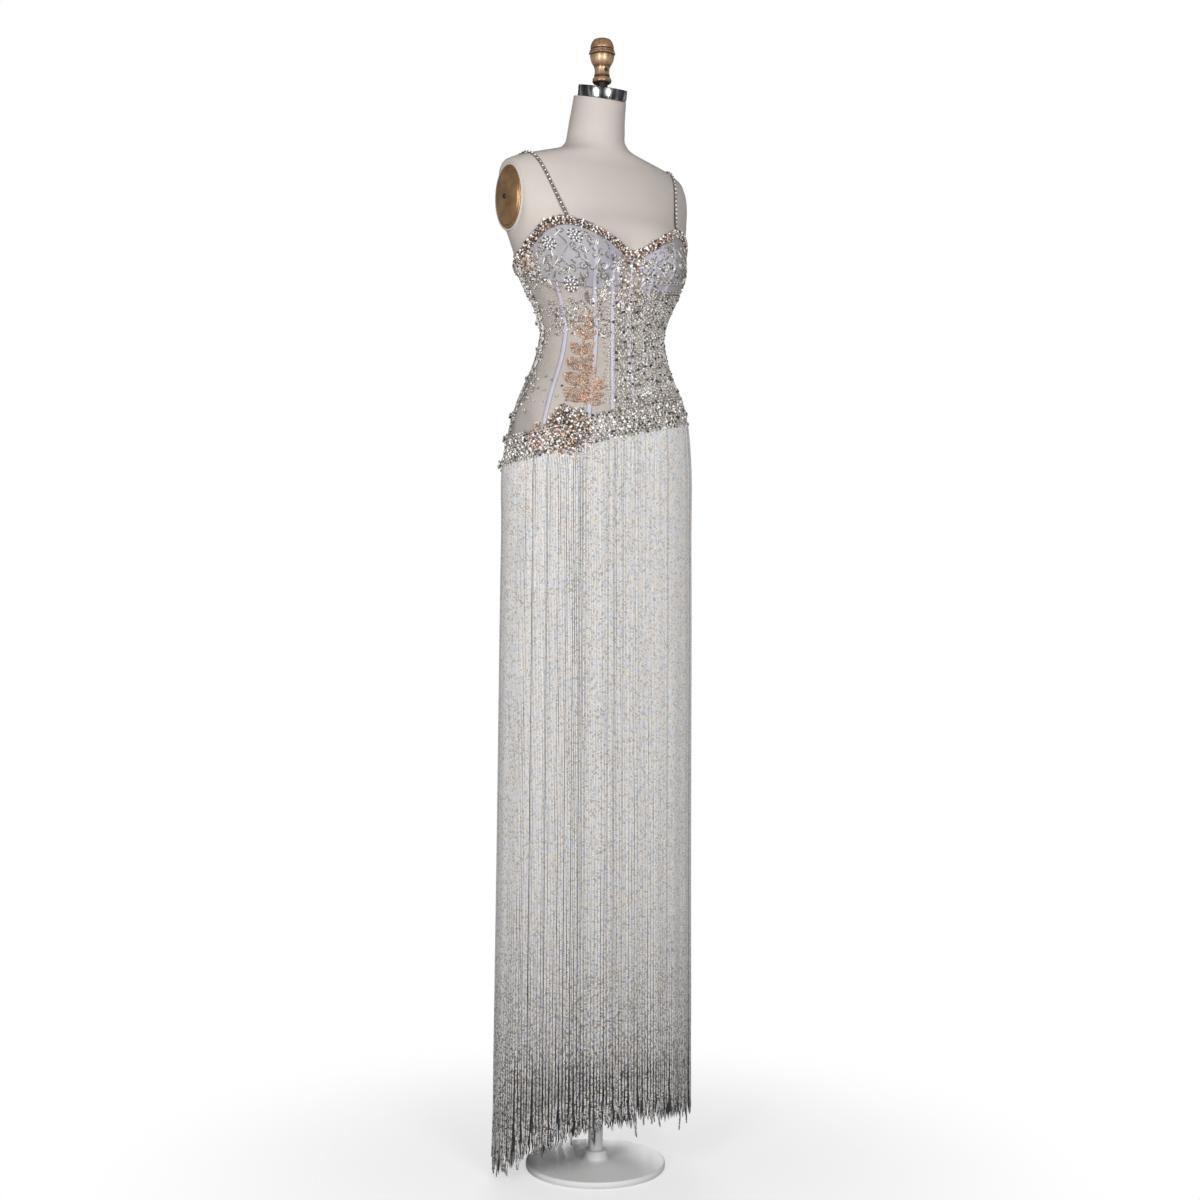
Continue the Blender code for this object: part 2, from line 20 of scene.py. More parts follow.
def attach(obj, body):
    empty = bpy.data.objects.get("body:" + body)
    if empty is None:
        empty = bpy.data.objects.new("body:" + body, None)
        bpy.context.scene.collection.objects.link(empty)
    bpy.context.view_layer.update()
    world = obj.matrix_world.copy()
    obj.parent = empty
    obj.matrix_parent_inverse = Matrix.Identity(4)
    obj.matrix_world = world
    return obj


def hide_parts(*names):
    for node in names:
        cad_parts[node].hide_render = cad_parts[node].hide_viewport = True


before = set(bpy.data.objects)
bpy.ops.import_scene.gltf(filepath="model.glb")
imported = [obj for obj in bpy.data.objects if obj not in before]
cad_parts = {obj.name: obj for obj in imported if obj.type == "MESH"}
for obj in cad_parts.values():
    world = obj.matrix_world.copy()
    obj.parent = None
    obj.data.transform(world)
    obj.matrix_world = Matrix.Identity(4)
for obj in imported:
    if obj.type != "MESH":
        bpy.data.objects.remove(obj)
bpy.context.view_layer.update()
chance = np.random.default_rng(11)

# Girths of the form, and of the skirt that hangs straight from its hips
Girth = namedtuple("Girth", "height half_width middle front back")
GIRTHS = (
    Girth(0.000, 0.1755, 0.0090, -0.1200, 0.1380),
    Girth(0.560, 0.1720, 0.0074, -0.1166, 0.1314),
    Girth(0.980, 0.1702, 0.0060, -0.1162, 0.1280),
    Girth(1.100, 0.1692, 0.0058, -0.1152, 0.1268),
    Girth(1.200, 0.1690, 0.0056, -0.1150, 0.1262),
    Girth(1.255, 0.1628, 0.0020, -0.1150, 0.1195),
    Girth(1.290, 0.1555, -0.0015, -0.1145, 0.1120),
    Girth(1.320, 0.1455, -0.0040, -0.1115, 0.1040),
    Girth(1.350, 0.1315, -0.0040, -0.1040, 0.0960),
    Girth(1.380, 0.1188, -0.0045, -0.0970, 0.0880),
    Girth(1.410, 0.1112, -0.0055, -0.0930, 0.0815),
    Girth(1.430, 0.1090, -0.0055, -0.0920, 0.0800),
    Girth(1.450, 0.1140, -0.0050, -0.0930, 0.0835),
    Girth(1.480, 0.1255, -0.0040, -0.0985, 0.0880),
    Girth(1.507, 0.1400, 0.0000, -0.1010, 0.0970),
    Girth(1.535, 0.1510, 0.0040, -0.1030, 0.1040),
    Girth(1.560, 0.1550, 0.0080, -0.1030, 0.1085),
    Girth(1.588, 0.1620, 0.0150, -0.0990, 0.1130),
    Girth(1.605, 0.1680, 0.0180, -0.0950, 0.1140),
    Girth(1.630, 0.1780, 0.0225, -0.0830, 0.1135),
    Girth(1.660, 0.1850, 0.0240, -0.0710, 0.1095),
    Girth(1.690, 0.1860, 0.0270, -0.0580, 0.1020),
    Girth(1.710, 0.1790, 0.0300, -0.0480, 0.0970),
    Girth(1.722, 0.1670, 0.0315, -0.0410, 0.0920),
    Girth(1.731, 0.1460, 0.0310, -0.0370, 0.0890),
    Girth(1.741, 0.1090, 0.0290, -0.0340, 0.0850),
    Girth(1.751, 0.0720, 0.0260, -0.0315, 0.0810),
    Girth(1.764, 0.0545, 0.0235, -0.0300, 0.0775),
    Girth(1.785, 0.0500, 0.0195, -0.0305, 0.0695),
    Girth(1.805, 0.0483, 0.0160, -0.0323, 0.0643),
    Girth(1.830, 0.0465, 0.0095, -0.0370, 0.0560),
    Girth(1.880, 0.0440, -0.0010, -0.0450, 0.0430),
)
BUST_HEIGHT = 1.545
BUST_SIDE = 0.085
BUST_REACH = 0.030
BUST_WIDTH = 0.052
BUST_SPREAD = 0.048

# The gown's edges
BELT_FRONT = 1.254
BELT_TILT = 0.037
BELT_FALL = 0.026
BELT_TALL = 0.045
UNDERSKIRT_HEM = 0.206
UNDERBUST_FRONT = 1.490
UNDERBUST_SIDE = 1.512
TRIM_TALL = 0.014
Edge = namedtuple("Edge", "angle height")
NECKLINE = (
    Edge(0, 1.557), Edge(10, 1.570), Edge(20, 1.587), Edge(30, 1.602), Edge(40, 1.611),
    Edge(52, 1.607), Edge(70, 1.582), Edge(90, 1.557), Edge(130, 1.545), Edge(180, 1.540),
)
FRINGE_HEM = (
    Edge(-180, 0.024), Edge(-110, 0.010), Edge(-80, 0.036), Edge(-60, 0.058), Edge(-35, 0.086),
    Edge(-12, 0.106), Edge(15, 0.104), Edge(50, 0.096), Edge(85, 0.080), Edge(130, 0.050),
    Edge(180, 0.024),
)

# Seams of the corset, on both sides, and its boning
CENTRE_SEAM = 30
SIDE_FRONT_SEAM = 60
SIDE_BACK_SEAM = 105
CUP_INSIDE = 7.5
CUP_OUTSIDE = 75
BONES = (-142.5, -105, -60, -30, -15, 0, 15, 30, 60, 105, 142.5)
BONE_WIDE = 0.007
PLACKET_WIDE = 0.022

# How far each layer lies off the form
CORSET_OFF = 0.0008
TAPE_OFF = 0.0018
BAND_OFF = 0.0022
BEAD_OFF = 0.0026
BELT_BEAD_OFF = 0.0036
ORNAMENT_OFF = 0.0053
UNDERSKIRT_OFF = 0.0008
INNER_STRAND_OFF = 0.0030
OUTER_STRAND_OFF = 0.0043
FLUTES = 24
FLUTE_DEEP = 0.0025

CLOTH_THICK = 0.0004
FINE = 0.006         # metres between the columns of a cloth's mesh
FINE_RISE = 0.007    # metres between its rows

# Straps
STRAP_WIDE = 0.0050
STRAP_FRONT = 0.105
STRAP_TOP = 0.139
STRAP_PEAK = 1.7345
STRAP_BACK = 0.080
STRAP_FRONT_ANGLE = 39
STRAP_BACK_ANGLE = 149
STRAP_OFF = 0.0014

# Ornament on the belt
ORNAMENT_ANGLE = -42
ORNAMENT_RADIUS = 0.044
ORNAMENT_DOME = 0.0085

# The dress form and its stand
UNDERSIDE = 1.020
UNDERSIDE_SLACK = 0.010
NECK_TOP = Vector((0, 0.001, 1.8395))
NECK_TILT = math.radians(15)
CAP_RADIUS = 0.0430
CAP_TALL = 0.0190
POST_RADIUS = 0.0100
FINIAL_FOOT = 1.8660
PLATE_CENTRE = Vector((0.1665, 0.0225, 1.6555))
PLATE_YAW = math.radians(6)
PLATE_LEAN = math.radians(1.7)
PLATE_HALF_TALL = 0.0535
PLATE_HALF_WIDE = 0.0380
PLATE_LIP = 0.0016
PLATE_THICK = 0.0090
LIP_RADIUS = 0.0021
LIP_CLEAR = 0.0019
SCREW_RADIUS = 0.0040
POLE_RADIUS = 0.0125
HUB_TOP = 0.030
GAP = 0.0003


# ---------------------------------------------------------------- the body

def smooth(table, column, at):
    """A column's values at heights or angles, on a smooth curve through the table's rows."""
    xs = np.array([row[0] for row in table], dtype=float)
    ys = np.array([getattr(row, column) for row in table], dtype=float)
    slopes = np.gradient(ys, xs)
    at = np.clip(at, xs[0], xs[-1])
    i = np.clip(np.searchsorted(xs, at) - 1, 0, len(xs) - 2)
    span = xs[i + 1] - xs[i]
    s = (at - xs[i]) / span
    start = (1 + 2 * s) * (1 - s) ** 2 * ys[i] + s * (1 - s) ** 2 * span * slopes[i]
    return start + s * s * (3 - 2 * s) * ys[i + 1] - s * s * (1 - s) * span * slopes[i + 1]


def blend(low, high, share):
    return low + (high - low) * share


def skin(angle, height):
    """Points of the body's surface at arrays of angles and heights."""
    angle, height = np.broadcast_arrays(np.asarray(angle, float), np.asarray(height, float))
    turn = np.radians(angle)
    x = smooth(GIRTHS, "half_width", height) * np.sin(turn)
    front = np.cos(turn) > 0
    middle = smooth(GIRTHS, "middle", height)
    reach = np.where(front, smooth(GIRTHS, "front", height), smooth(GIRTHS, "back", height)) - middle
    round_off = np.abs(np.cos(turn))
    aside = (np.abs(x) - BUST_SIDE) / BUST_WIDTH
    above = (height - BUST_HEIGHT) / BUST_SPREAD
    bust = BUST_REACH * np.exp(-aside ** 2 - above ** 2) * np.minimum(1, 2 * round_off)
    return np.stack((x, middle + reach * round_off - np.where(front, bust, 0), height), axis=-1)


def unit(vectors):
    return vectors / np.linalg.norm(vectors, axis=-1, keepdims=True)


def seats(angle, height, off=0.0):
    """Frames on the body, one row each: point, round the body, up it and out of it."""
    turn, rise = 0.5, 0.002
    point = skin(angle, height)
    across = unit(skin(angle + turn, height) - skin(angle - turn, height))
    up = skin(angle, height + rise) - skin(angle, height - rise)
    out = unit(np.cross(across, up))
    off = np.broadcast_to(off, point.shape[:-1])[..., None]
    return np.stack((point + out * off, across, np.cross(out, across), out), axis=-2)


def on_body(angle, height, off=0.0):
    return seats(angle, height, off)[..., 0, :]


def rate(angle, height):
    """Metres round the body for a degree."""
    return np.linalg.norm(skin(angle + 0.5, height) - skin(angle - 0.5, height), axis=-1)


def beside(angle, height, across, up):
    """Angles and heights at distances round and up from one place."""
    return angle + np.asarray(across) / rate(angle, height), height + np.asarray(up)


def belt_low(angle):
    turn = np.radians(angle)
    return BELT_FRONT + BELT_TILT * np.sin(turn) - BELT_FALL * (1 - np.cos(turn)) / 2


def belt_high(angle):
    return belt_low(angle) + BELT_TALL


def underbust(angle):
    share = np.minimum(1.0, (np.asarray(angle) / CUP_OUTSIDE) ** 2)
    return blend(UNDERBUST_FRONT, UNDERBUST_SIDE, share)


def neckline(angle):
    return smooth(NECKLINE, "height", np.abs(angle))


def trim_low(angle):
    return neckline(angle) - TRIM_TALL


def fringe_hem(angle):
    return smooth(FRINGE_HEM, "height", (np.asarray(angle) + 180) % 360 - 180)


def level(height):
    return lambda angle: np.full(np.shape(angle), height)


# ---------------------------------------------------------------- shader maths

class Wire:
    """A shader socket that takes part in Python's arithmetic."""

    def __init__(self, finish, socket):
        self.finish = finish
        self.socket = socket

    def maths(self, operation, *values):
        return self.finish.node("ShaderNodeMath", {"operation": operation}, dict(enumerate(values)))

    def __add__(self, other):
        return self.maths("ADD", self, other)

    __radd__ = __add__

    def __sub__(self, other):
        return self.maths("SUBTRACT", self, other)

    def __rsub__(self, other):
        return self.maths("SUBTRACT", other, self)

    def __mul__(self, other):
        return self.maths("MULTIPLY", self, other)

    __rmul__ = __mul__

    def __truediv__(self, other):
        return self.maths("DIVIDE", self, other)

    def __pow__(self, other):
        return self.maths("POWER", self, other)

    def __abs__(self):
        return self.maths("ABSOLUTE", self)

    def sine(self):
        return self.maths("SINE", self)

    def floor(self):
        return self.maths("FLOOR", self)

    def part(self):
        """What is left after the whole number."""
        return self.maths("FRACT", self)

    def step(self, low, high):
        """0 below low, 1 above high, and smooth between."""
        return self.finish.node("ShaderNodeMapRange", {"interpolation_type": "SMOOTHSTEP"},
                                {"Value": self, "From Min": low, "From Max": high})


class Finish:
    """A surface finish: one Principled shader and the nodes that feed it."""

    def __init__(self, name, **constants):
        self.material = bpy.data.materials.new(name)
        self.material.use_nodes = True
        self.tree = self.material.node_tree
        self.shader = self.tree.nodes["Principled BSDF"]
        for word, value in constants.items():
            self.shader.inputs[word.replace("_", " ")].default_value = value

    def node(self, kind, settings, inputs, output=0):
        """A node from its type, its settings and the values or links of its sockets."""
        node = self.tree.nodes.new(kind)
        for word, value in settings.items():
            if word == "stops":
                self.set_stops(node.color_ramp, value)
            else:
                setattr(node, word, value)
        for word, value in inputs.items():
            if isinstance(value, Wire):
                self.tree.links.new(value.socket, node.inputs[word])
            else:
                node.inputs[word].default_value = value
        return Wire(self, node.outputs[output])

    @staticmethod
    def set_stops(ramp, stops):
        while len(ramp.elements) < len(stops):
            ramp.elements.new(1.0)
        for element, (place, colour) in zip(ramp.elements, stops):
            element.position = place
            element.color = (*colour, 1)

    def feed(self, socket, wire):
        self.tree.links.new(wire.socket, self.shader.inputs[socket])

    def place(self):
        return self.node("ShaderNodeTexCoord", {}, {}, "Object")

    def cloth_map(self):
        return self.node("ShaderNodeUVMap", {"uv_map": "cloth"}, {})

    def attribute(self, name):
        return self.node("ShaderNodeAttribute", {"attribute_name": name}, {}, "Fac")

    def axes(self, vector):
        split = self.node("ShaderNodeSeparateXYZ", {}, {"Vector": vector})
        return [Wire(self, output) for output in split.socket.node.outputs]

    def vector(self, x, y, z=0.0):
        return self.node("ShaderNodeCombineXYZ", {}, {"X": x, "Y": y, "Z": z})

    def stretch(self, vector, scale):
        return self.node("ShaderNodeVectorMath", {"operation": "MULTIPLY"}, {0: vector, 1: scale})

    def noise(self, vector, scale, detail=2.0):
        sockets = {"Vector": vector, "Scale": scale, "Detail": detail}
        return self.node("ShaderNodeTexNoise", {}, sockets, "Fac")

    def lots(self, vector):
        """A random number for every different vector."""
        return self.node("ShaderNodeTexWhiteNoise", {"noise_dimensions": "3D"}, {"Vector": vector}, "Value")

    def ramp(self, wire, stops, interpolation="LINEAR"):
        node = self.tree.nodes.new("ShaderNodeValToRGB")
        node.color_ramp.interpolation = interpolation
        self.set_stops(node.color_ramp, stops)
        self.tree.links.new(wire.socket, node.inputs[0])
        return Wire(self, node.outputs[0])

    def mix(self, share, low, high, how="MIX"):
        def colour(value):
            return value if isinstance(value, Wire) else (*value, 1)
        return self.node("ShaderNodeMix", {"data_type": "RGBA", "blend_type": how},
                         {0: share, 6: colour(low), 7: colour(high)}, 2)

    def bump(self, height, distance, strength=1.0):
        self.feed("Normal", self.node("ShaderNodeBump", {}, {"Height": height, "Distance": distance,
                                                             "Strength": strength}))


# ---------------------------------------------------------------- finishes

def form_skin():
    """Off-white linen, pulled smooth over the form and sealed."""
    finish = Finish("form_skin", Specular_IOR_Level=0.25)
    place = finish.place()
    u, v, _ = finish.axes(finish.cloth_map())
    thread = 2 * math.pi / 0.0009
    weave = (u * thread).sine() * (v * thread).sine()
    cloudy = finish.noise(place, 9.0, 3.0)
    slub = finish.noise(finish.stretch(place, (420, 420, 1500)), 1.0, 2.0)
    tone = cloudy * 0.7 + slub * 0.3
    finish.feed("Base Color", finish.ramp(tone, ((0.3, (0.63, 0.57, 0.52)), (0.7, (0.70, 0.64, 0.59)))))
    finish.feed("Roughness", slub * 0.15 + 0.55)
    finish.bump(weave * 0.5 + slub, 0.00012, 0.6)
    return finish.material


def polished_steel():
    """Spun steel: brushed round its axis, and dark with a few bright runs along it that are painted
    reflections.
    """
    finish = Finish("polished_steel", Metallic=1.0)
    place = finish.place()
    brush = finish.noise(finish.stretch(place, (60, 60, 6000)), 1.0, 3.0)
    # The run noise paints reflections: its bright stop in the colour ramp stands for lamps mirrored in the
    # steel.
    run = finish.noise(finish.stretch(place, (75, 75, 4)), 1.0, 1.0)
    finish.feed("Base Color", finish.ramp(run * 0.9 + brush * 0.1,
                                          ((0.40, (0.10, 0.10, 0.11)), (0.52, (0.26, 0.26, 0.27)),
                                           (0.58, (0.85, 0.85, 0.85)), (0.66, (0.20, 0.20, 0.21)))))
    finish.feed("Roughness", brush * 0.12 + 0.14)
    finish.bump(brush, 0.00003)
    return finish.material


def painted_metal(name, dark, mid, light, roughness, metallic, scale=60.0):
    """Metallic paint, mottled, and rubbed lighter where the mottle is high."""
    finish = Finish(name, Metallic=metallic, Coat_Weight=0.15, Coat_Roughness=0.3)
    place = finish.place()
    mottle = finish.noise(place, scale, 4.0)
    grain = finish.noise(place, scale * 14, 2.0)
    finish.feed("Base Color", finish.ramp(mottle * 0.8 + grain * 0.2,
                                          ((0.32, dark), (0.5, mid), (0.68, light))))
    finish.feed("Roughness", grain * 0.2 + (roughness - 0.1))
    finish.bump(grain, 0.00008, 0.5)
    return finish.material


def gilt_with_groove_shade(name, foot, stops):
    """Gilt rubbed bright on the swells, and dark in the grooves with painted shade, by height above the foot.
    """
    finish = Finish(name, Metallic=0.45, Coat_Weight=0.25, Coat_Roughness=0.25)
    place = finish.place()
    _, _, z = finish.axes(place)
    mottle = finish.noise(place, 160.0, 4.0)
    streak = finish.noise(finish.stretch(place, (420, 420, 90)), 1.0, 3.0)
    height = (z - foot) * 10.0 + (mottle - 0.5) * 0.012
    wear_and_gap_shade = finish.mix(streak.step(0.35, 0.70), (0.62, 0.55, 0.50), (1.0, 1.0, 1.0))
    # The ramp by height paints shade into the grooves with its dark stops.
    finish.feed("Base Color", finish.mix(1.0, finish.ramp(height, stops), wear_and_gap_shade, "MULTIPLY"))
    finish.feed("Roughness", mottle * 0.2 + 0.28)
    finish.bump(streak, 0.00010, 0.5)
    return finish.material


def white_enamel(name):
    finish = Finish(name, Coat_Weight=0.2, Coat_Roughness=0.15)
    grain = finish.noise(finish.place(), 700.0, 2.0)
    finish.feed("Base Color", finish.ramp(grain, ((0.3, (0.90, 0.90, 0.89)), (0.7, (0.95, 0.95, 0.94)))))
    finish.feed("Roughness", grain * 0.15 + 0.32)
    finish.bump(grain, 0.00005, 0.4)
    return finish.material


def nude_net():
    """Fine tulle: threads that cross each other, and holes to see the form through."""
    finish = Finish("nude_net", Roughness=0.7, Specular_IOR_Level=0.2)
    u, v, _ = finish.axes(finish.cloth_map())
    pitch = math.pi / 0.0011
    nearest = abs(((u + v) * pitch).sine()).maths("MINIMUM", abs(((u + v) * pitch).sine()),
                                                 abs(((u - v) * pitch).sine()))
    thread = 1 - nearest.step(0.15, 0.5)
    cloudy = finish.noise(finish.place(), 26.0, 2.0)
    finish.feed("Base Color", finish.ramp(cloudy, ((0.35, (0.70, 0.645, 0.60)), (0.65, (0.82, 0.765, 0.72)))))
    finish.feed("Alpha", thread * 0.26 + 0.06 + cloudy * 0.08)
    finish.bump(thread, 0.00015)
    return finish.material


def woven(name, dark, light, thread, roughness, sheen, lengthways=1.0):
    """A woven lining cloth, with threads that cross and slow changes of tone."""
    finish = Finish(name, Sheen_Weight=sheen, Sheen_Roughness=0.4, Specular_IOR_Level=0.3)
    u, v, _ = finish.axes(finish.cloth_map())
    turns = 2 * math.pi / thread
    weave = (u * turns).sine() * (v * (turns * lengthways)).sine()
    cloudy = finish.noise(finish.place(), 34.0, 3.0)
    finish.feed("Base Color", finish.ramp(cloudy * 0.8 + weave * 0.06 + 0.1, ((0.3, dark), (0.7, light))))
    finish.feed("Roughness", cloudy * 0.2 + (roughness - 0.1))
    finish.bump(weave + cloudy, 0.00008)
    return finish.material


def cup_lining():
    """Grey net over a lilac lining, more lilac towards the bust's inner side."""
    finish = Finish("lilac_lining", Sheen_Weight=0.15, Sheen_Roughness=0.4, Specular_IOR_Level=0.3)
    u, v, _ = finish.axes(finish.cloth_map())
    turns = 2 * math.pi / 0.0008
    weave = (u * turns).sine() * (v * turns).sine()
    place = finish.place()
    x, _, _ = finish.axes(place)
    cloudy = finish.noise(place, 34.0, 3.0)
    tone = cloudy * 0.8 + weave * 0.06 + 0.1
    grey = finish.ramp(tone, ((0.3, (0.43, 0.41, 0.42)), (0.7, (0.54, 0.52, 0.535))))
    lilac = finish.ramp(tone, ((0.3, (0.45, 0.435, 0.51)), (0.7, (0.57, 0.555, 0.635))))
    patches = finish.noise(place, 16.0, 2.0).step(0.44, 0.60)
    inner = (1 - (abs(x) + cloudy * 0.02).step(0.066, 0.078)) * 0.5 + patches * 0.5
    finish.feed("Base Color", finish.mix(inner, grey, lilac))
    finish.feed("Roughness", cloudy * 0.2 + 0.45)
    finish.bump(weave + cloudy, 0.00008)
    return finish.material


def stones(name, stops):
    """Foil-backed stones: each has its own tone, dark beside bright as painted reflections of their facets,
    and the brightest glow as painted glints.
    """
    finish = Finish(name, Metallic=0.2, Specular_IOR_Level=0.6, Emission_Strength=0.22)
    tone = finish.attribute("tone")
    haze = finish.noise(finish.place(), 1400.0, 1.0)
    finish.feed("Base Color", finish.ramp(tone, stops, "CONSTANT"))
    # Painted glints: stones of tone 0.87 and up emit light, though they are no lamps.
    painted_glint = ((0.0, (0, 0, 0)), (0.87, (1.0, 0.985, 0.96)))
    finish.feed("Emission Color", finish.ramp(tone, painted_glint, "CONSTANT"))
    finish.feed("Roughness", haze * 0.1 + 0.32)
    return finish.material


def fringe_beads():
    """Threaded glass beads: a tone for each bead, its round side, and painted shade in the gap to the next.
    """
    finish = Finish("fringe_beads", Specular_IOR_Level=0.6)
    strand = finish.attribute("strand")
    place = finish.place()
    _, _, z = finish.axes(place)
    run = z / BEAD_PITCH + (strand * 0.5).floor() * PHASE
    lot = finish.lots(finish.vector(strand, run.floor()))
    round_side = (run.part() * math.pi).sine()
    shade = finish.attribute("shade")
    calm = finish.ramp(lot, (
        (0.00, (0.60, 0.585, 0.57)), (0.11, (0.78, 0.765, 0.74)), (0.27, (0.94, 0.925, 0.90)),
        (0.46, (0.98, 0.91, 0.79)), (0.56, (0.86, 0.88, 1.0)), (0.68, (0.99, 0.90, 0.87)),
        (0.76, (0.87, 0.96, 0.91)), (0.81, (1.0, 0.99, 0.98))), "CONSTANT")
    # Tones for the lower fringe, which the colour blends into from 0.5 m down to 0.06 m: darker and in
    # stronger contrast, as painted shade and highlights; the beads are the same as higher up.
    lower_shade_and_highlights = finish.ramp(lot, (
        (0.00, (0.10, 0.095, 0.09)), (0.16, (0.30, 0.28, 0.265)), (0.34, (0.58, 0.555, 0.53)),
        (0.50, (0.92, 0.85, 0.73)), (0.60, (0.74, 0.76, 0.90)), (0.70, (0.88, 0.79, 0.76)),
        (0.78, (1.0, 0.99, 0.98))), "CONSTANT")
    colour = finish.mix(1 - z.step(0.06, 0.50), calm, lower_shade_and_highlights)
    glow = finish.ramp(finish.noise(finish.stretch(place, (90, 90, 45)), 1.0, 1.0),
                       ((0.34, (0.95, 0.96, 1.0)), (0.5, (1.0, 0.995, 0.975)), (0.66, (1.0, 0.965, 0.95))))
    # Painted shade: each bead darkens towards its gaps to the next.
    wear_and_gap_shade = finish.mix(round_side.step(0.0, 0.6), (0.72, 0.71, 0.71), (1.0, 1.0, 1.0))
    tinted = finish.mix(1.0, finish.mix(1.0, colour, wear_and_gap_shade, "MULTIPLY"), glow, "MULTIPLY")
    grey = finish.node("ShaderNodeCombineColor", {}, {0: shade, 1: shade, 2: shade})
    finish.feed("Base Color", finish.mix(1.0, tinted, grey, "MULTIPLY"))
    finish.feed("Roughness", lot * 0.2 + 0.3)
    finish.bump(round_side, 0.0005, 0.7)
    return finish.material


BEAD_PITCH = 0.0028
PHASE = 0.37         # of a bead, from one pair of strands to the next
# Tones of stones: the tints are their own colours; the near-black and near-white stops are painted
# reflections of facets, and tones from 0.87 up also glow as painted glints.
SILVER = ((0.00, (0.05, 0.046, 0.042)), (0.055, (0.29, 0.258, 0.222)), (0.13, (0.52, 0.475, 0.42)),
          (0.26, (0.74, 0.69, 0.63)), (0.44, (0.92, 0.89, 0.845)), (0.64, (0.86, 0.765, 0.665)),
          (0.75, (0.78, 0.765, 0.89)), (0.82, (0.78, 0.86, 0.80)), (0.87, (1.0, 0.99, 0.97)))
ROSE_GOLD = ((0.00, (0.13, 0.09, 0.07)), (0.08, (0.40, 0.23, 0.15)), (0.22, (0.66, 0.41, 0.285)),
             (0.38, (0.80, 0.55, 0.41)), (0.52, (0.56, 0.46, 0.40)), (0.64, (0.82, 0.69, 0.61)),
             (0.78, (0.93, 0.86, 0.81)), (0.90, (1.0, 0.985, 0.965)))
# Gilt colours by height above the finial's foot; the dark stops at the grooves' heights are painted shade.
GILT_AND_GROOVE_SHADE = (
    (0.00, (0.10, 0.055, 0.025)), (0.03, (0.42, 0.26, 0.13)), (0.08, (0.72, 0.50, 0.29)),
    (0.105, (0.10, 0.05, 0.02)), (0.122, (0.12, 0.06, 0.025)), (0.15, (0.62, 0.41, 0.22)),
    (0.26, (0.66, 0.44, 0.24)), (0.287, (0.16, 0.08, 0.035)), (0.31, (0.60, 0.40, 0.22)),
    (0.38, (0.86, 0.62, 0.38)), (0.46, (0.52, 0.34, 0.18)), (0.484, (0.07, 0.035, 0.015)),
    (0.51, (0.84, 0.58, 0.35)), (0.530, (0.10, 0.05, 0.02)), (0.555, (0.72, 0.49, 0.30)),
    (0.577, (0.07, 0.035, 0.015)), (0.60, (0.52, 0.32, 0.17)), (0.70, (0.68, 0.44, 0.26)),
    (0.76, (0.34, 0.21, 0.12)))

FINISHES = {
    "form_skin": form_skin(),
    "polished_steel": polished_steel(),
    "arm_plate_bronze": painted_metal("arm_plate_bronze", (0.30, 0.165, 0.075), (0.46, 0.27, 0.13),
                                      (0.62, 0.38, 0.20), 0.36, 0.75, 40.0),
    "finial_gilt": gilt_with_groove_shade("finial_gilt", FINIAL_FOOT, GILT_AND_GROOVE_SHADE),
    "dark_post": painted_metal("dark_post", (0.012, 0.012, 0.013), (0.03, 0.03, 0.03),
                               (0.07, 0.07, 0.07), 0.4, 0.6),
    "stand_base_white": white_enamel("stand_base_white"),
    "stand_pole_white": white_enamel("stand_pole_white"),
    "nude_net": nude_net(),
    "lilac_lining": cup_lining(),
    "boning_tape": woven("boning_tape", (0.56, 0.545, 0.64), (0.68, 0.66, 0.75), 0.0005, 0.38, 0.3, 0.25),
    "underskirt_cloth": woven("underskirt_cloth", (0.40, 0.38, 0.37), (0.52, 0.50, 0.49), 0.0005, 0.45, 0.3),
    "silver_beads": stones("silver_beads", SILVER),
    "rose_gold_beads": stones("rose_gold_beads", ROSE_GOLD),
    "fringe_beads": fringe_beads(),
}


# ---------------------------------------------------------------- making pieces

def show(name, mesh, slot, replaces=(), crease=None):
    """Put a finished mesh in the scene, on the part's one body."""
    if crease is not None:
        mesh.shade_smooth()
        mesh.set_sharp_from_angle(angle=math.radians(crease))
    mesh.materials.append(FINISHES[slot])
    piece = bpy.data.objects.new(name, mesh)
    bpy.context.scene.collection.objects.link(piece)
    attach(piece, "root")
    if replaces:
        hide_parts(*replaces)
    return piece


def finished(name, bm, slot, replaces=(), crease=30):
    mesh = bpy.data.meshes.new(name)
    bm.to_mesh(mesh)
    bm.free()
    return show(name, mesh, slot, replaces, crease)


def grid(bm, columns, rows, place):
    """A grid whose corners place() puts on the body, from shares across and up; its UV map is in metres."""
    made = bmesh.ops.create_grid(bm, x_segments=columns, y_segments=rows, size=0.5)["verts"]
    shares = np.array([vert.co[:2] for vert in made]) + 0.5
    points, flat = place(shares[:, 0], shares[:, 1])
    uv = bm.loops.layers.uv.get("cloth") or bm.loops.layers.uv.new("cloth")
    for vert, point, spot in zip(made, points, flat):
        vert.co = point
        for loop in vert.link_loops:
            loop[uv].uv = spot


def patch(start, end, low, high, off, swell=None):
    """How a cloth patch lies on the body: between two angles and two edges, at a distance off it."""
    def place(across, up):
        angle = blend(start, end, across)
        height = blend(low(angle), high(angle), up)
        extra = swell(angle, height, across, up) if swell else 0.0
        flat = np.stack((np.radians(angle) * 0.14, height), axis=-1)
        return on_body(angle, height, off + extra), flat
    return place


def cut_size(place, count=41):
    """Width, length and area of the cloth in a patch."""
    shares = np.linspace(0, 1, count)
    across, up = (axis.ravel() for axis in np.meshgrid(shares, shares))
    points = place(across, up)[0].reshape(count, count, 3)
    along, rise = np.diff(points, axis=1), np.diff(points, axis=0)
    width = np.linalg.norm(along, axis=2).sum(axis=1).max()
    length = np.linalg.norm(rise, axis=2).sum(axis=0).max()
    area = np.linalg.norm(np.cross(along[:-1], rise[:, :-1]), axis=2).sum()
    return float(width), float(length), float(area)


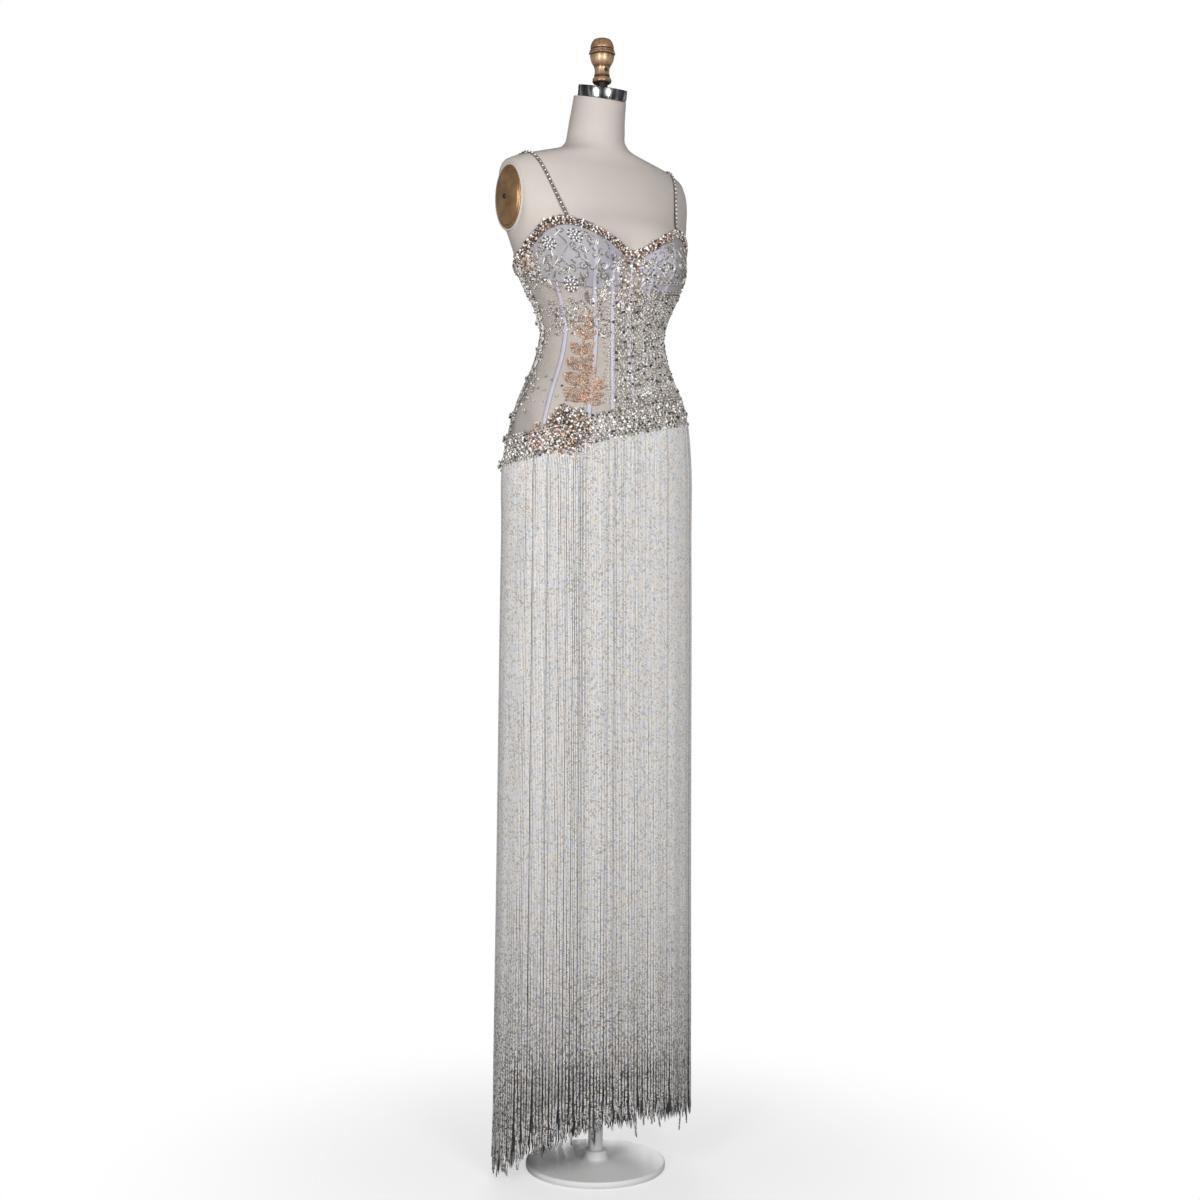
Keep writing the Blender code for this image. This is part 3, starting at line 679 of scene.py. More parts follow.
def cloth(name, patches, off, slot, replaces=(), fine=FINE, rise=FINE_RISE, swell=None,
          thick=CLOTH_THICK):
    """Cloth on the body, from patches of (start angle, end angle, low edge, high edge) or from places."""
    bm = bmesh.new()
    sizes = []
    for lot in patches:
        place = lot if callable(lot) else patch(*lot, off, swell)
        sizes.append(cut_size(place))
        grid(bm, max(2, round(sizes[-1][0] / fine)), max(2, round(sizes[-1][1] / rise)), place)
    bmesh.ops.remove_doubles(bm, verts=bm.verts[:], dist=1e-5)
    bmesh.ops.recalc_face_normals(bm, faces=bm.faces[:])
    point_out(bm)
    piece = finished(name, bm, slot, replaces, crease=60)
    shell = piece.modifiers.new("thickness", "SOLIDIFY")
    shell.thickness = thick
    shell.offset = 0.0
    piece["cut"] = (max(size[0] for size in sizes), sum(size[1] for size in sizes),
                    sum(size[2] for size in sizes))
    return piece


def point_out(bm):
    """Turn an open sheet's faces away from the body's axis."""
    inward = sum(face.normal.dot(Vector((*face.calc_center_median().xy, 0))) * face.calc_area()
                 for face in bm.faces) < 0
    if inward:
        bmesh.ops.reverse_faces(bm, faces=bm.faces[:])


def declare(piece, with_pieces=()):
    width, length, area = piece["cut"]
    min(area, width * length)


def lathe(profile, segments):
    """A lathe-turned solid about +Z, from (radius, height) rows that start and end on the axis."""
    bm = bmesh.new()
    points = [bm.verts.new((radius, 0, height)) for radius, height in profile]
    edges = [bm.edges.new(pair) for pair in zip(points, points[1:])]
    bmesh.ops.spin(bm, geom=points + edges, cent=(0, 0, 0), axis=(0, 0, 1), angle=math.tau,
                   steps=segments, use_merge=True)
    bmesh.ops.remove_doubles(bm, verts=bm.verts[:], dist=1e-6)
    bmesh.ops.recalc_face_normals(bm, faces=bm.faces[:])
    return bm


def turned(name, profile, slot, node, segments=96, place=Matrix.Identity(4)):
    bm = lathe(profile, segments)
    bm.transform(place)
    return finished(name, bm, slot, (node,))


# ---------------------------------------------------------------- the dress form

def plate_place(side):
    """Where an arm plate's centre lies: its own +Z points out of the shoulder."""
    out = Vector((side * math.cos(PLATE_YAW) * math.cos(PLATE_LEAN),
                  -math.sin(PLATE_YAW) * math.cos(PLATE_LEAN), -math.sin(PLATE_LEAN)))
    up = (Vector((0, 0, 1)) - out * out.z).normalized()
    turn = Matrix((up.cross(out), up, out)).transposed().to_4x4()
    return Matrix.Translation((side * PLATE_CENTRE.x, PLATE_CENTRE.y, PLATE_CENTRE.z)) @ turn


def pressed(points, centre, normal, softness):
    """Points beyond a plane pressed back to it, with a rounded lip where they meet it."""
    beyond = (points - np.array(centre)) @ np.array(normal)
    kept = -softness * np.logaddexp(0, -beyond / softness)
    near = np.sign(points[:, 0]) == np.sign(normal[0])
    return points + np.where(near, kept - beyond, 0)[:, None] * np.array(normal)


def form_body():
    """Hips to neck as one smooth form, pressed flat for the arm plates and cut for the neck cap."""
    top = 1.875

    def place(across, up):
        angle = blend(-180, 180, across)
        height = blend(UNDERSIDE, top, up)
        drop = np.clip((belt_low(angle) - height) / (belt_low(angle) - UNDERSIDE), 0, 1)
        points = on_body(angle, height, -UNDERSIDE_SLACK * drop ** 2)
        for side in (-1, 1):
            plate = plate_place(side)
            points = pressed(points, plate.translation, plate.col[2].to_3d(), PLATE_LIP)
        return points, np.stack((np.radians(angle) * 0.14, height), axis=-1)

    bm = bmesh.new()
    grid(bm, 180, 190, place)
    bmesh.ops.remove_doubles(bm, verts=bm.verts[:], dist=1e-5)
    made = bmesh.ops.bisect_plane(bm, geom=bm.verts[:] + bm.edges[:] + bm.faces[:], dist=1e-6,
                                  plane_co=NECK_TOP, plane_no=neck_axis(), clear_outer=True)["geom_cut"]
    bmesh.ops.holes_fill(bm, edges=[edge for edge in bm.edges if edge.is_boundary], sides=0)
    rim = [part for part in made if isinstance(part, bmesh.types.BMEdge)]
    bmesh.ops.bevel(bm, geom=rim, offset=0.0008, segments=2, profile=0.5, affect="EDGES", material=-1)
    bmesh.ops.recalc_face_normals(bm, faces=bm.faces[:])
    return finished("form_body", bm, "form_skin", ("form_torso",), crease=50)


def neck_axis():
    return Matrix.Rotation(NECK_TILT, 3, "X") @ Vector((0, 0, 1))


def arm_plates():
    """Domed plates with a rolled edge, each in a raised lip of the form's skin, with a screw."""
    dome = [(radius, PLATE_THICK * math.sqrt(1 - (radius / 0.965) ** 2) * 0.72 + 0.0028)
            for radius in (0.88, 0.80, 0.70, 0.58, 0.44, 0.30, 0.15, 0.0)]
    profile = [(0, GAP), (0.94, GAP), (0.985, 0.0006), (1, 0.0014), (0.993, 0.0024), (0.97, 0.0031),
               (0.945, 0.0032), (0.93, 0.0028), (0.915, 0.0030)] + dome
    seat = profile[-1][1] + GAP
    head = ((0, seat), (SCREW_RADIUS * 0.94, seat), (SCREW_RADIUS, seat + 0.0003),
            (SCREW_RADIUS * 0.94, seat + 0.0008), (SCREW_RADIUS * 0.7, seat + 0.0013),
            (SCREW_RADIUS * 0.35, seat + 0.0017), (0, seat + 0.0018))
    for side, word in ((-1, "right"), (1, "left")):
        plate = lathe(profile, 96)
        plate.transform(Matrix.Diagonal((PLATE_HALF_WIDE, PLATE_HALF_TALL, 1, 1)))
        plate.transform(plate_place(side))
        finished("shoulder_plate_" + word, plate, "arm_plate_bronze", ("arm_plate_" + word,))
        screw = lathe(head, 32)
        slot_in(screw, SCREW_RADIUS * 0.14, 0.0007, seat + 0.0004)
        screw.transform(plate_place(side))
        finished("shoulder_plate_screw_" + word, screw, "polished_steel", ("arm_plate_screw_" + word,))
        finished("shoulder_lip_" + word, lip(side), "form_skin")


def lip(side):
    """A round bead of skin that frames an arm plate."""
    bm = bmesh.new()
    made = bmesh.ops.create_circle(bm, segments=16, radius=LIP_RADIUS,
                                   matrix=Matrix.Translation((1 + LIP_CLEAR, 0, 0))
                                   @ Matrix.Rotation(math.pi / 2, 4, "X"))["verts"]
    bmesh.ops.spin(bm, geom=made + bm.edges[:], cent=(0, 0, 0), axis=(0, 0, 1), angle=math.tau,
                   steps=128, use_merge=True)
    bmesh.ops.remove_doubles(bm, verts=bm.verts[:], dist=1e-6)
    for vert in bm.verts:
        way = Vector((vert.co.x, vert.co.y, 0)).normalized()
        out = way * (vert.co.xy.length - 1)
        vert.co = Vector((way.x * PLATE_HALF_WIDE, way.y * PLATE_HALF_TALL, vert.co.z)) + out
    bmesh.ops.recalc_face_normals(bm, faces=bm.faces[:])
    bm.transform(plate_place(side))
    return bm


def slot_in(bm, half, deep, above):
    """Sink a driver slot along Y into a screw's head."""
    for aside in (-half, half):
        bmesh.ops.bisect_plane(bm, geom=bm.verts[:] + bm.edges[:] + bm.faces[:], dist=1e-7,
                               plane_co=(aside, 0, 0), plane_no=(1, 0, 0))
    slot = [face for face in bm.faces
            if abs(face.calc_center_median().x) < half and face.calc_center_median().z > above]
    sunk = bmesh.ops.extrude_face_region(bm, geom=slot)["geom"]
    bmesh.ops.delete(bm, geom=slot, context="FACES")
    verts = [part for part in sunk if isinstance(part, bmesh.types.BMVert)]
    bmesh.ops.translate(bm, verts=verts, vec=(0, 0, -deep))


def neck_cap():
    radius, edge = CAP_RADIUS, 0.0009
    profile = ((0, GAP), (radius - edge, GAP), (radius - 0.0002, GAP + 0.0003), (radius, 0.0012),
               (radius, CAP_TALL - edge), (radius - 0.0003, CAP_TALL - 0.0002), (radius - edge, CAP_TALL),
               (radius - 0.0035, CAP_TALL), (radius - 0.0040, CAP_TALL - 0.0005), (0, CAP_TALL - 0.0005))
    tilt = Matrix.Translation(NECK_TOP) @ Matrix.Rotation(NECK_TILT, 4, "X")
    turned("neck_collar", profile, "polished_steel", "neck_cap", 128, tilt)
    post = lathe(((0, NECK_TOP.z + 0.004), (POST_RADIUS, NECK_TOP.z + 0.004),
                  (POST_RADIUS, FINIAL_FOOT - GAP), (0, FINIAL_FOOT - GAP)), 48)
    finished("neck_post", post, "dark_post", ("finial_post",))


# The finial from its foot up: a grooved foot, a narrow waist, a cup, a ring and a barrel
FINIAL = ((0, 0), (0.0138, 0), (0.0150, 0.0006), (0.0160, 0.0016), (0.0165, 0.0032), (0.0166, 0.0050),
          (0.0163, 0.0068), (0.0156, 0.0084), (0.0146, 0.0096), (0.0137, 0.0103), (0.0132, 0.0110),
          (0.0133, 0.0117), (0.0138, 0.0123), (0.0138, 0.0130), (0.0133, 0.0144), (0.0129, 0.0162),
          (0.0127, 0.0185), (0.0127, 0.0210), (0.0129, 0.0235), (0.0133, 0.0258), (0.0139, 0.0274),
          (0.0143, 0.0282), (0.0139, 0.0287), (0.0140, 0.0292), (0.0154, 0.0308), (0.0167, 0.0328),
          (0.0179, 0.0351), (0.0190, 0.0378), (0.0199, 0.0405), (0.0205, 0.0432), (0.0209, 0.0458),
          (0.0210, 0.0474), (0.0205, 0.0481), (0.0204, 0.0487), (0.0214, 0.0493), (0.0225, 0.0501),
          (0.0230, 0.0511), (0.0228, 0.0521), (0.0218, 0.0528), (0.0210, 0.0533), (0.0211, 0.0539),
          (0.0218, 0.0546), (0.0218, 0.0555), (0.0212, 0.0563), (0.0196, 0.0571), (0.0191, 0.0578),
          (0.0197, 0.0586), (0.0203, 0.0597), (0.0203, 0.0620), (0.0199, 0.0645), (0.0191, 0.0672),
          (0.0180, 0.0700), (0.0166, 0.0724), (0.0148, 0.0745), (0.0120, 0.0759), (0.0080, 0.0764),
          (0, 0.0765))


def finial():
    turned("finial_knob", FINIAL, "finial_gilt", "finial", 128, Matrix.Translation((0, 0, FINIAL_FOOT)))
    reach, radius = 0.0128, 0.0034
    head = lathe(((0, 0), (radius, 0), (radius, 0.0010), (radius * 0.85, 0.0018), (0, 0.0022)), 32)
    slot_in(head, radius * 0.16, 0.0008, 0.0012)
    head.transform(Matrix.Translation((0, -reach, FINIAL_FOOT + 0.0215))
                   @ Matrix.Rotation(math.pi / 2, 4, "X"))
    finished("finial_screw", head, "polished_steel")


def stand():
    base = ((0, 0), (0.1160, 0), (0.1188, 0.0008), (0.1200, 0.0030), (0.1200, 0.0085), (0.1194, 0.0100),
            (0.1176, 0.0111), (0.0290, 0.0128), (0.0245, 0.0138), (0.0218, 0.0158), (0.0205, 0.0190),
            (0.0200, 0.0220), (0.0200, HUB_TOP - 0.0020), (0.0192, HUB_TOP - 0.0006), (0.0178, HUB_TOP),
            (0, HUB_TOP))
    turned("stand_foot", base, "stand_base_white", "stand_base", 128)
    pole = ((0, HUB_TOP + GAP), (POLE_RADIUS, HUB_TOP + GAP), (POLE_RADIUS, UNDERSIDE - GAP),
            (0, UNDERSIDE - GAP))
    turned("stand_tube", pole, "stand_pole_white", "stand_pole", 48)


# ---------------------------------------------------------------- cloth of the gown

def taut_ridges(angle, *_):
    """The net is pulled over each bone, and dips a little between them."""
    return 0.00018 * np.cos(np.radians(angle) * 24)


def cup_puckers(_angle, _height, across, up):
    """Soft gathers at the lower seam and the sides of a cup, uneven, and fading towards its middle."""
    edge = np.exp(-up * 5) + np.exp(-across * 9) + np.exp(-(1 - across) * 9)
    waves = np.sin(across * 47 + np.sin(across * 9) * 2) * 0.6 + np.sin(across * 83 + 1) * 0.4
    return 0.00030 * np.minimum(1, edge) * waves + 0.0003


def corset():
    """Net panels, cups, boning tapes and the placket."""
    net = {"off": CORSET_OFF, "slot": "nude_net", "swell": taut_ridges}
    panels = [cloth("net_centre_front",
                    [(-CENTRE_SEAM, CENTRE_SEAM, belt_high, underbust),
                     (-CUP_INSIDE, CUP_INSIDE, underbust, trim_low)],
                    replaces=("bodice_centre_front",), **net)]
    for side, word in ((-1, "right"), (1, "left")):
        def both(start, end, side=side):
            return sorted((side * start, side * end))
        panels += [
            cloth("net_side_front_" + word, [(*both(CENTRE_SEAM, SIDE_FRONT_SEAM), belt_high, underbust)],
                  replaces=("bodice_side_front_" + word,), **net),
            cloth("net_side_" + word,
                  [(*both(SIDE_FRONT_SEAM, SIDE_BACK_SEAM), belt_high, underbust),
                   (*both(CUP_OUTSIDE, SIDE_BACK_SEAM), underbust, trim_low)],
                  replaces=("bodice_side_" + word,), **net),
            cloth("net_back_" + word,
                  [(*both(SIDE_BACK_SEAM, 180), belt_high, underbust),
                   (*both(SIDE_BACK_SEAM, 180), underbust, trim_low)],
                  replaces=("bodice_back_" + word,), **net),
            cloth("lined_cup_" + word, [(*both(CUP_INSIDE, CUP_OUTSIDE), underbust, trim_low)], CORSET_OFF,
                  "lilac_lining", ("cup_" + word,), fine=0.003, rise=0.003, swell=cup_puckers),
        ]
    tapes = []
    for number, angle in enumerate(BONES, start=1):
        if CUP_INSIDE < abs(angle) <= CENTRE_SEAM:
            high = cup_bone_top
        elif abs(angle) < CUP_OUTSIDE and angle:
            high = underbust
        else:
            high = trim_low
        tapes.append(tape("bone_tape_%02d" % number, angle, BONE_WIDE, high, "boning_tape",
                          "boning_%02d" % number))
    placket = tape("closing_placket", 180, PLACKET_WIDE, trim_low, "nude_net", "back_placket")
    return panels, tapes, placket


def cup_bone_top(angle):
    return trim_low(angle) - 0.012


def tape(name, angle, width, high, slot, node):
    """A tape of one width that stands up over its bone and lies down at both edges."""
    low, top = float(belt_high(angle)), float(high(angle))

    def place(across, up):
        height = blend(low, top, up)
        round_body = (across - 0.5) * width
        crown = 0.0005 * np.sin(across * math.pi) ** 0.5
        flat = np.stack((round_body, height), axis=-1)
        return on_body(angle + round_body / rate(angle, height), height, TAPE_OFF + crown), flat

    return cloth(name, [place], TAPE_OFF, slot, (node,), fine=width / 5, rise=0.006)


def underskirts():
    """The plain lining skirt under the fringe, front and back, with soft folds that open to its hem."""
    def folds(angle, height, *_):
        drop = np.clip((UNDERSIDE - height) / (UNDERSIDE - UNDERSKIRT_HEM), 0, 1)
        turn = np.radians(angle)
        waves = (np.sin(turn * 13 + 0.7 * np.sin(turn * 3)) + 0.6 * np.sin(turn * 22 + 1.3)
                 + 0.4 * np.sin(turn * 37))
        return -0.0035 * drop ** 1.3 * (waves / 2 + 1)

    pieces = []
    for word, start, end in (("front", -90, 90), ("back", 90, 270)):
        pieces.append(cloth("lining_skirt_" + word, [(start, end, level(UNDERSKIRT_HEM), belt_low)],
                            UNDERSKIRT_OFF, "underskirt_cloth", ("underskirt_" + word,),
                            fine=0.0038, rise=0.02, swell=folds))
    return pieces


# ---------------------------------------------------------------- beads and stones

def shape(make, **settings):
    """Corners and faces of a small closed shape, one metre across, from a mesh operator."""
    bm = bmesh.new()
    make(bm, **settings)
    bmesh.ops.triangulate(bm, faces=bm.faces[:])
    bmesh.ops.recalc_face_normals(bm, faces=bm.faces[:])
    bm.verts.ensure_lookup_table()
    corners = np.array([vert.co for vert in bm.verts])
    faces = np.array([[vert.index for vert in face.verts] for face in bm.faces])
    bm.free()
    return corners, faces


STONE = shape(bmesh.ops.create_icosphere, subdivisions=1, radius=0.5)
BUGLE = shape(bmesh.ops.create_cone, segments=5, radius1=0.5, radius2=0.5, depth=1.0, cap_ends=True,
              matrix=Matrix.Rotation(math.pi / 2, 4, "X"))


class Beads:
    """Beads of one shape to be sewn on: where each sits, its sizes, its turn and its tone."""

    def __init__(self, corners_and_faces):
        self.corners, self.faces = corners_and_faces
        self.places = []
        self.sizes = []
        self.tones = []

    def sew(self, at, wide, long=None, tall=None, turn=0.0, tilt=0.25, tone=None):
        """Add beads at seats: wide across, long along their turn and tall off the cloth."""
        at = at.reshape(-1, 4, 3)
        count = len(at)
        long = wide if long is None else long
        tall = np.minimum(wide, long) * 0.8 if tall is None else tall
        point, across, up, out = (at[:, i] for i in range(4))
        lean = chance.normal(size=(count, 1)) * across + chance.normal(size=(count, 1)) * up
        out = unit(out + tilt * lean)
        across = unit(across - (across * out).sum(axis=1, keepdims=True) * out)
        up = np.cross(out, across)
        turn = np.broadcast_to(turn, count)[:, None]
        side = across * np.cos(turn) + up * np.sin(turn)
        ahead = up * np.cos(turn) - across * np.sin(turn)
        self.places.append(np.stack((point, side, ahead, out), axis=1))
        self.sizes.append(np.stack([np.broadcast_to(size, count) for size in (wide, long, tall)], axis=1))
        self.tones.append(chance.random(count) if tone is None else np.broadcast_to(tone, count))

    def joined(self, name, slot, replaces=()):
        places, sizes = np.concatenate(self.places), np.concatenate(self.sizes)
        scaled = self.corners[None] * sizes[:, None]
        points = places[:, None, 0] + np.einsum("nij,njk->nik", scaled, places[:, 1:])
        faces = self.faces[None] + len(self.corners) * np.arange(len(places))[:, None, None]
        tones = np.repeat(np.concatenate(self.tones), len(self.corners))
        return show(name, joined_mesh(name, points.reshape(-1, 3), faces.reshape(-1, 3), tone=tones),
                    slot, replaces)


def joined_mesh(name, points, faces, **attributes):
    """One mesh of many small ones, with an attribute's value at each corner."""
    mesh = bpy.data.meshes.new(name)
    mesh.vertices.add(len(points))
    mesh.vertices.foreach_set("co", points.ravel())
    mesh.loops.add(faces.size)
    mesh.loops.foreach_set("vertex_index", faces.ravel().astype(np.int32))
    mesh.polygons.add(len(faces))
    mesh.polygons.foreach_set("loop_start", np.arange(0, faces.size, faces.shape[1], dtype=np.int32))
    mesh.update(calc_edges=True)
    for word, values in attributes.items():
        mesh.attributes.new(word, "FLOAT", "POINT").data.foreach_set("value", values)
    return mesh


def smooth_line(stations, count=24):
    """Angles and heights closely along a smooth line through (angle, height) stations."""
    rows = np.array(stations, dtype=float)
    slopes = np.gradient(rows, axis=0)
    t = np.linspace(0, len(rows) - 1, count * (len(rows) - 1) + 1)
    i = np.minimum(t.astype(int), len(rows) - 2)
    s = (t - i)[:, None]
    line = ((1 + 2 * s) * (1 - s) ** 2 * rows[i] + s * (1 - s) ** 2 * slopes[i]
            + s * s * (3 - 2 * s) * rows[i + 1] - s * s * (1 - s) * slopes[i + 1])
    return line[:, 0], line[:, 1]


def spaced(angle, height, pitch, start=0.5):
    """Angles, heights and headings at an even pitch along a line on the body."""
    points = skin(angle, height)
    along = np.concatenate(([0.0], np.cumsum(np.linalg.norm(np.diff(points, axis=0), axis=1))))
    count = max(1, int(along[-1] / pitch + 1e-6))
    marks = (np.arange(count) + start) * along[-1] / count
    a, h = np.interp(marks, along, angle), np.interp(marks, along, height)
    ahead = np.minimum(marks + 0.0005, along[-1])
    behind = ahead - 0.001
    round_body = (np.interp(ahead, along, angle) - np.interp(behind, along, angle)) * rate(a, h)
    rise = np.interp(ahead, along, height) - np.interp(behind, along, height)
    return a, h, np.arctan2(rise, round_body)


def edge_line(edge, start, end, count=400):
    angle = np.linspace(start, end, count)
    return angle, edge(angle)


def uneven(count, spread):
    return 1 + spread * (chance.random(count) - 0.5)


def row_of(beads, line, pitch, size, off, jitter=0.0, spread=0.2, start=0.5, keep=None, tone=None, **more):
    """A row of beads along a line on the body, or only where keep() says so."""
    angle, height, _ = spaced(*line, pitch, start)
    count = len(angle)
    angle = angle + jitter * chance.normal(size=count) / rate(angle, height)
    height = height + jitter * chance.normal(size=count)
    if keep is not None:
        kept = keep(angle, height)
        angle, height = angle[kept], height[kept]
    count = len(angle)
    if count:
        beads.sew(seats(angle, height, off), size * uneven(count, spread),
                  tone=tone(count) if callable(tone) else tone, **more)


def tint(piece, tone):
    """Give a band of cloth one of its stones' tones."""
    data = piece.data.attributes.new("tone", "FLOAT", "POINT").data
    data.foreach_set("value", np.full(len(data), tone))


def high_or_low(count, dark=0.3):
    """Tones of stones that are either very dark or very bright."""
    return np.where(chance.random(count) < dark, 0.02, 0.95)


def sparkling(count):
    """Tones of large stones: a bright one beside a darker one, with few exceptions, as painted sparkle."""
    bright = chance.choice((0.30, 0.50, 0.50, 0.70, 0.80, 0.95), count)
    dark = chance.choice((0.02, 0.09, 0.09, 0.20, 0.20), count)
    return np.where((np.arange(count) + (chance.random(count) < 0.15)) % 2, dark, bright)


def dusky(count):
    """Tones of the small greyer stones that lie between."""
    return chance.uniform(0.06, 0.66, count)


def shining(count):
    """Tones of the paler stones round the waist."""
    bright = chance.choice((0.50, 0.50, 0.70, 0.80, 0.95), count)
    dark = chance.choice((0.09, 0.20, 0.20, 0.35), count)
    return np.where((np.arange(count) + (chance.random(count) < 0.12)) % 2, dark, bright)


def belt():
    """The belt's band, large stones along each edge, and rows of smaller ones between."""
    big, small = Beads(STONE), Beads(STONE)

    def line(above):
        return edge_line(lambda angle: belt_low(angle) + above, -180, 180)

    for above, size, pitch in ((-0.0008, 0.0048, 0.0047), (0.0452, 0.0046, 0.0047)):
        row_of(big, line(above), pitch, size, BELT_BEAD_OFF + 0.0006, 0.0006, 0.35, tone=sparkling, tilt=0.5)
    for number, above in enumerate(np.arange(0.0034, 0.0435, 0.0037)):
        row_of(big, line(above), 0.0041, 0.0037, BELT_BEAD_OFF + 0.0002, 0.0004, 0.3,
               0.25 + 0.5 * (number % 2), tone=sparkling, tilt=0.5)
        row_of(small, line(above + 0.0018), 0.0036, 0.0026, BELT_BEAD_OFF - 0.0004, 0.0006, 0.3, tone=dusky)
    for above in (0.0120, 0.0230, 0.0340):
        row_of(big, line(above), 0.0190, 0.0050, BELT_BEAD_OFF + 0.0010, 0.0016, 0.3, tone=high_or_low)
    for angle, above, size in ((-114, 0.046, 0.0160), (-113, 0.003, 0.0210), (62, 0.018, 0.0100),
                               (64, 0.002, 0.0080)):
        knot(big, angle, float(belt_low(angle)) + above, size)
    pieces = [big.joined("belt_large_stones", "silver_beads"),
              small.joined("belt_small_stones", "silver_beads")]
    for word, start, end in (("right", -180, 0), ("left", 0, 180)):
        band = cloth("belt_band_" + word, [(start, end, belt_low, belt_high)], BAND_OFF, "silver_beads",
                     ("belt_" + word,), thick=0.0008)
        tint(band, 0.10)
        pieces.append(band)
    return pieces


def knot(beads, angle, height, size):
    """A small round heap of stones."""
    beads.sew(seats(np.array([angle]), np.array([height]), BELT_BEAD_OFF + size * 0.1), size * 0.7, tone=0.02)
    for count, reach, lift in ((9, 0.46, 0.08), (6, 0.24, 0.34)):
        turn = np.arange(count) * math.tau / count + chance.random()
        around = beside(angle, height, size * reach * np.cos(turn), size * reach * np.sin(turn))
        beads.sew(seats(*around, BELT_BEAD_OFF + size * lift), size * 0.30 * uneven(count, 0.3),
                  tone=sparkling(count))


def neckline_trim():
    """Rose-gold and silver stones heaped along the neckline, more silver towards its upper edge."""
    rose, silver = Beads(STONE), Beads(STONE)

    def rosy_tone(count):
        light = chance.choice((0.30, 0.45, 0.55, 0.70, 0.70, 0.85, 0.95), count)
        return np.where(np.arange(count) % 2, chance.choice((0.03, 0.03, 0.10, 0.10, 0.16), count), light)

    def greyish(count):
        return np.where(np.arange(count) % 2, chance.choice((0.02, 0.09, 0.09), count),
                        chance.choice((0.09, 0.20, 0.35, 0.50, 0.80, 0.95), count))

    for above in (0.0004, 0.0030, 0.0056, 0.0082, 0.0108, 0.0134):
        heap = 0.0022 * math.sin(math.pi * min(1, above / 0.0150)) ** 0.7
        rosy = 1.5 if 0.002 < above < 0.009 else 0.75
        for beads, pitch, tone in ((rose, 0.0072 / rosy, rosy_tone),
                                   (silver, 0.0060 * rosy, greyish)):
            row_of(beads, edge_line(lambda angle: trim_low(angle) + above, -180, 180), pitch, 0.0037,
                   BEAD_OFF + 0.0004 + heap, 0.0008, 0.4, chance.random(), tone=tone, tilt=0.5)
    row_of(silver, edge_line(lambda angle: trim_low(angle) + 0.0110, -180, 180), 0.0105, 0.0046,
           BEAD_OFF + 0.0030, 0.0010, 0.3, tone=high_or_low)
    pieces = [rose.joined("neckline_rose_stones", "rose_gold_beads"),
              silver.joined("neckline_silver_stones", "silver_beads")]
    for word, start, end, node in (("front_right", -90, 0, "neckline_trim_front_right"),
                                   ("front_left", 0, 90, "neckline_trim_front_left"),
                                   ("back_left", 90, 180, "neckline_trim_back_left"),
                                   ("back_right", -180, -90, "neckline_trim_back_right")):
        band = cloth("neckline_band_" + word, [(start, end, trim_low, neckline)], BAND_OFF,
                     "rose_gold_beads", (node,), rise=0.004, thick=0.0008)
        tint(band, 0.04)
        pieces.append(band)
    return pieces


def shoulder_path(side, count=160):
    """Frames along a strap, from the front neckline over the shoulder to the back one."""
    def climb(x_end, start, front):
        height = np.linspace(start, STRAP_PEAK, count)
        x = blend(x_end, STRAP_TOP, (height - start) / (STRAP_PEAK - start))
        half_width = smooth(GIRTHS, "half_width", height)
        kept = x < half_width
        angle = np.degrees(np.arcsin(x[kept] / half_width[kept]))
        return seats(side * (angle if front else 180 - angle), height[kept], STRAP_OFF)

    front = climb(STRAP_FRONT, float(neckline(STRAP_FRONT_ANGLE)) - 0.004, True)
    back = climb(STRAP_BACK, float(neckline(STRAP_BACK_ANGLE)) - 0.004, False)
    path = taut(np.concatenate((front, back[::-1])))
    return evenly(path, count)


def taut(path):
    """The frames that a string pulled tight over them, from the first to the last, would touch."""
    hull = []
    for row in path:
        while len(hull) > 1:
            (y1, z1), (y2, z2) = hull[-2][0, 1:], hull[-1][0, 1:]
            if (y2 - y1) * (row[0, 2] - z1) < (z2 - z1) * (row[0, 1] - y1):
                break
            hull.pop()
        hull.append(row)
    return np.array(hull)


def evenly(path, count):
    """Frames at even steps along a path of frames, turned to follow it."""
    points, outs = path[:, 0], path[:, 3]
    along = np.concatenate(([0.0], np.cumsum(np.linalg.norm(np.diff(points, axis=0), axis=1))))
    marks = np.linspace(0, along[-1], count)
    point = np.array([np.interp(marks, along, points[:, i]) for i in range(3)]).T
    out = np.array([np.interp(marks, along, outs[:, i]) for i in range(3)]).T
    ahead = unit(np.gradient(point, axis=0))
    across = unit(np.cross(ahead, out))
    return np.stack((point, across, ahead, np.cross(across, ahead)), axis=1)


def straps():
    """Thin straps: a cord base with a row of set stones, and seed beads down both sides."""
    pieces = []
    for side, word in ((-1, "right"), (1, "left")):
        path = shoulder_path(side)
        length = np.linalg.norm(np.diff(path[:, 0], axis=0), axis=1).sum()
        set_stones, seeds = Beads(STONE), Beads(STONE)
        for beads, pitch, size, aside, lift in ((set_stones, 0.0046, 0.0038, 0.0, 0.0012),
                                                (seeds, 0.0025, 0.0017, -0.0018, 0.0004),
                                                (seeds, 0.0025, 0.0017, 0.0018, 0.0004)):
            frames = evenly(path, int(length / pitch))
            frames[:, 0] += frames[:, 1] * aside + frames[:, 3] * lift
            count = len(frames)
            tone = chance.uniform(0.06, 0.30, count)
            if beads is set_stones:
                tone = np.where(np.arange(count) % 2, chance.choice((0.95, 0.50), count), 0.07)
            beads.sew(frames, size * uneven(count, 0.15), tone=tone)
        pieces.append(set_stones.joined("strap_stones_" + word, "silver_beads"))
        pieces.append(seeds.joined("strap_seed_beads_" + word, "silver_beads"))
        pieces.append(strap_base(word, path))
    return pieces


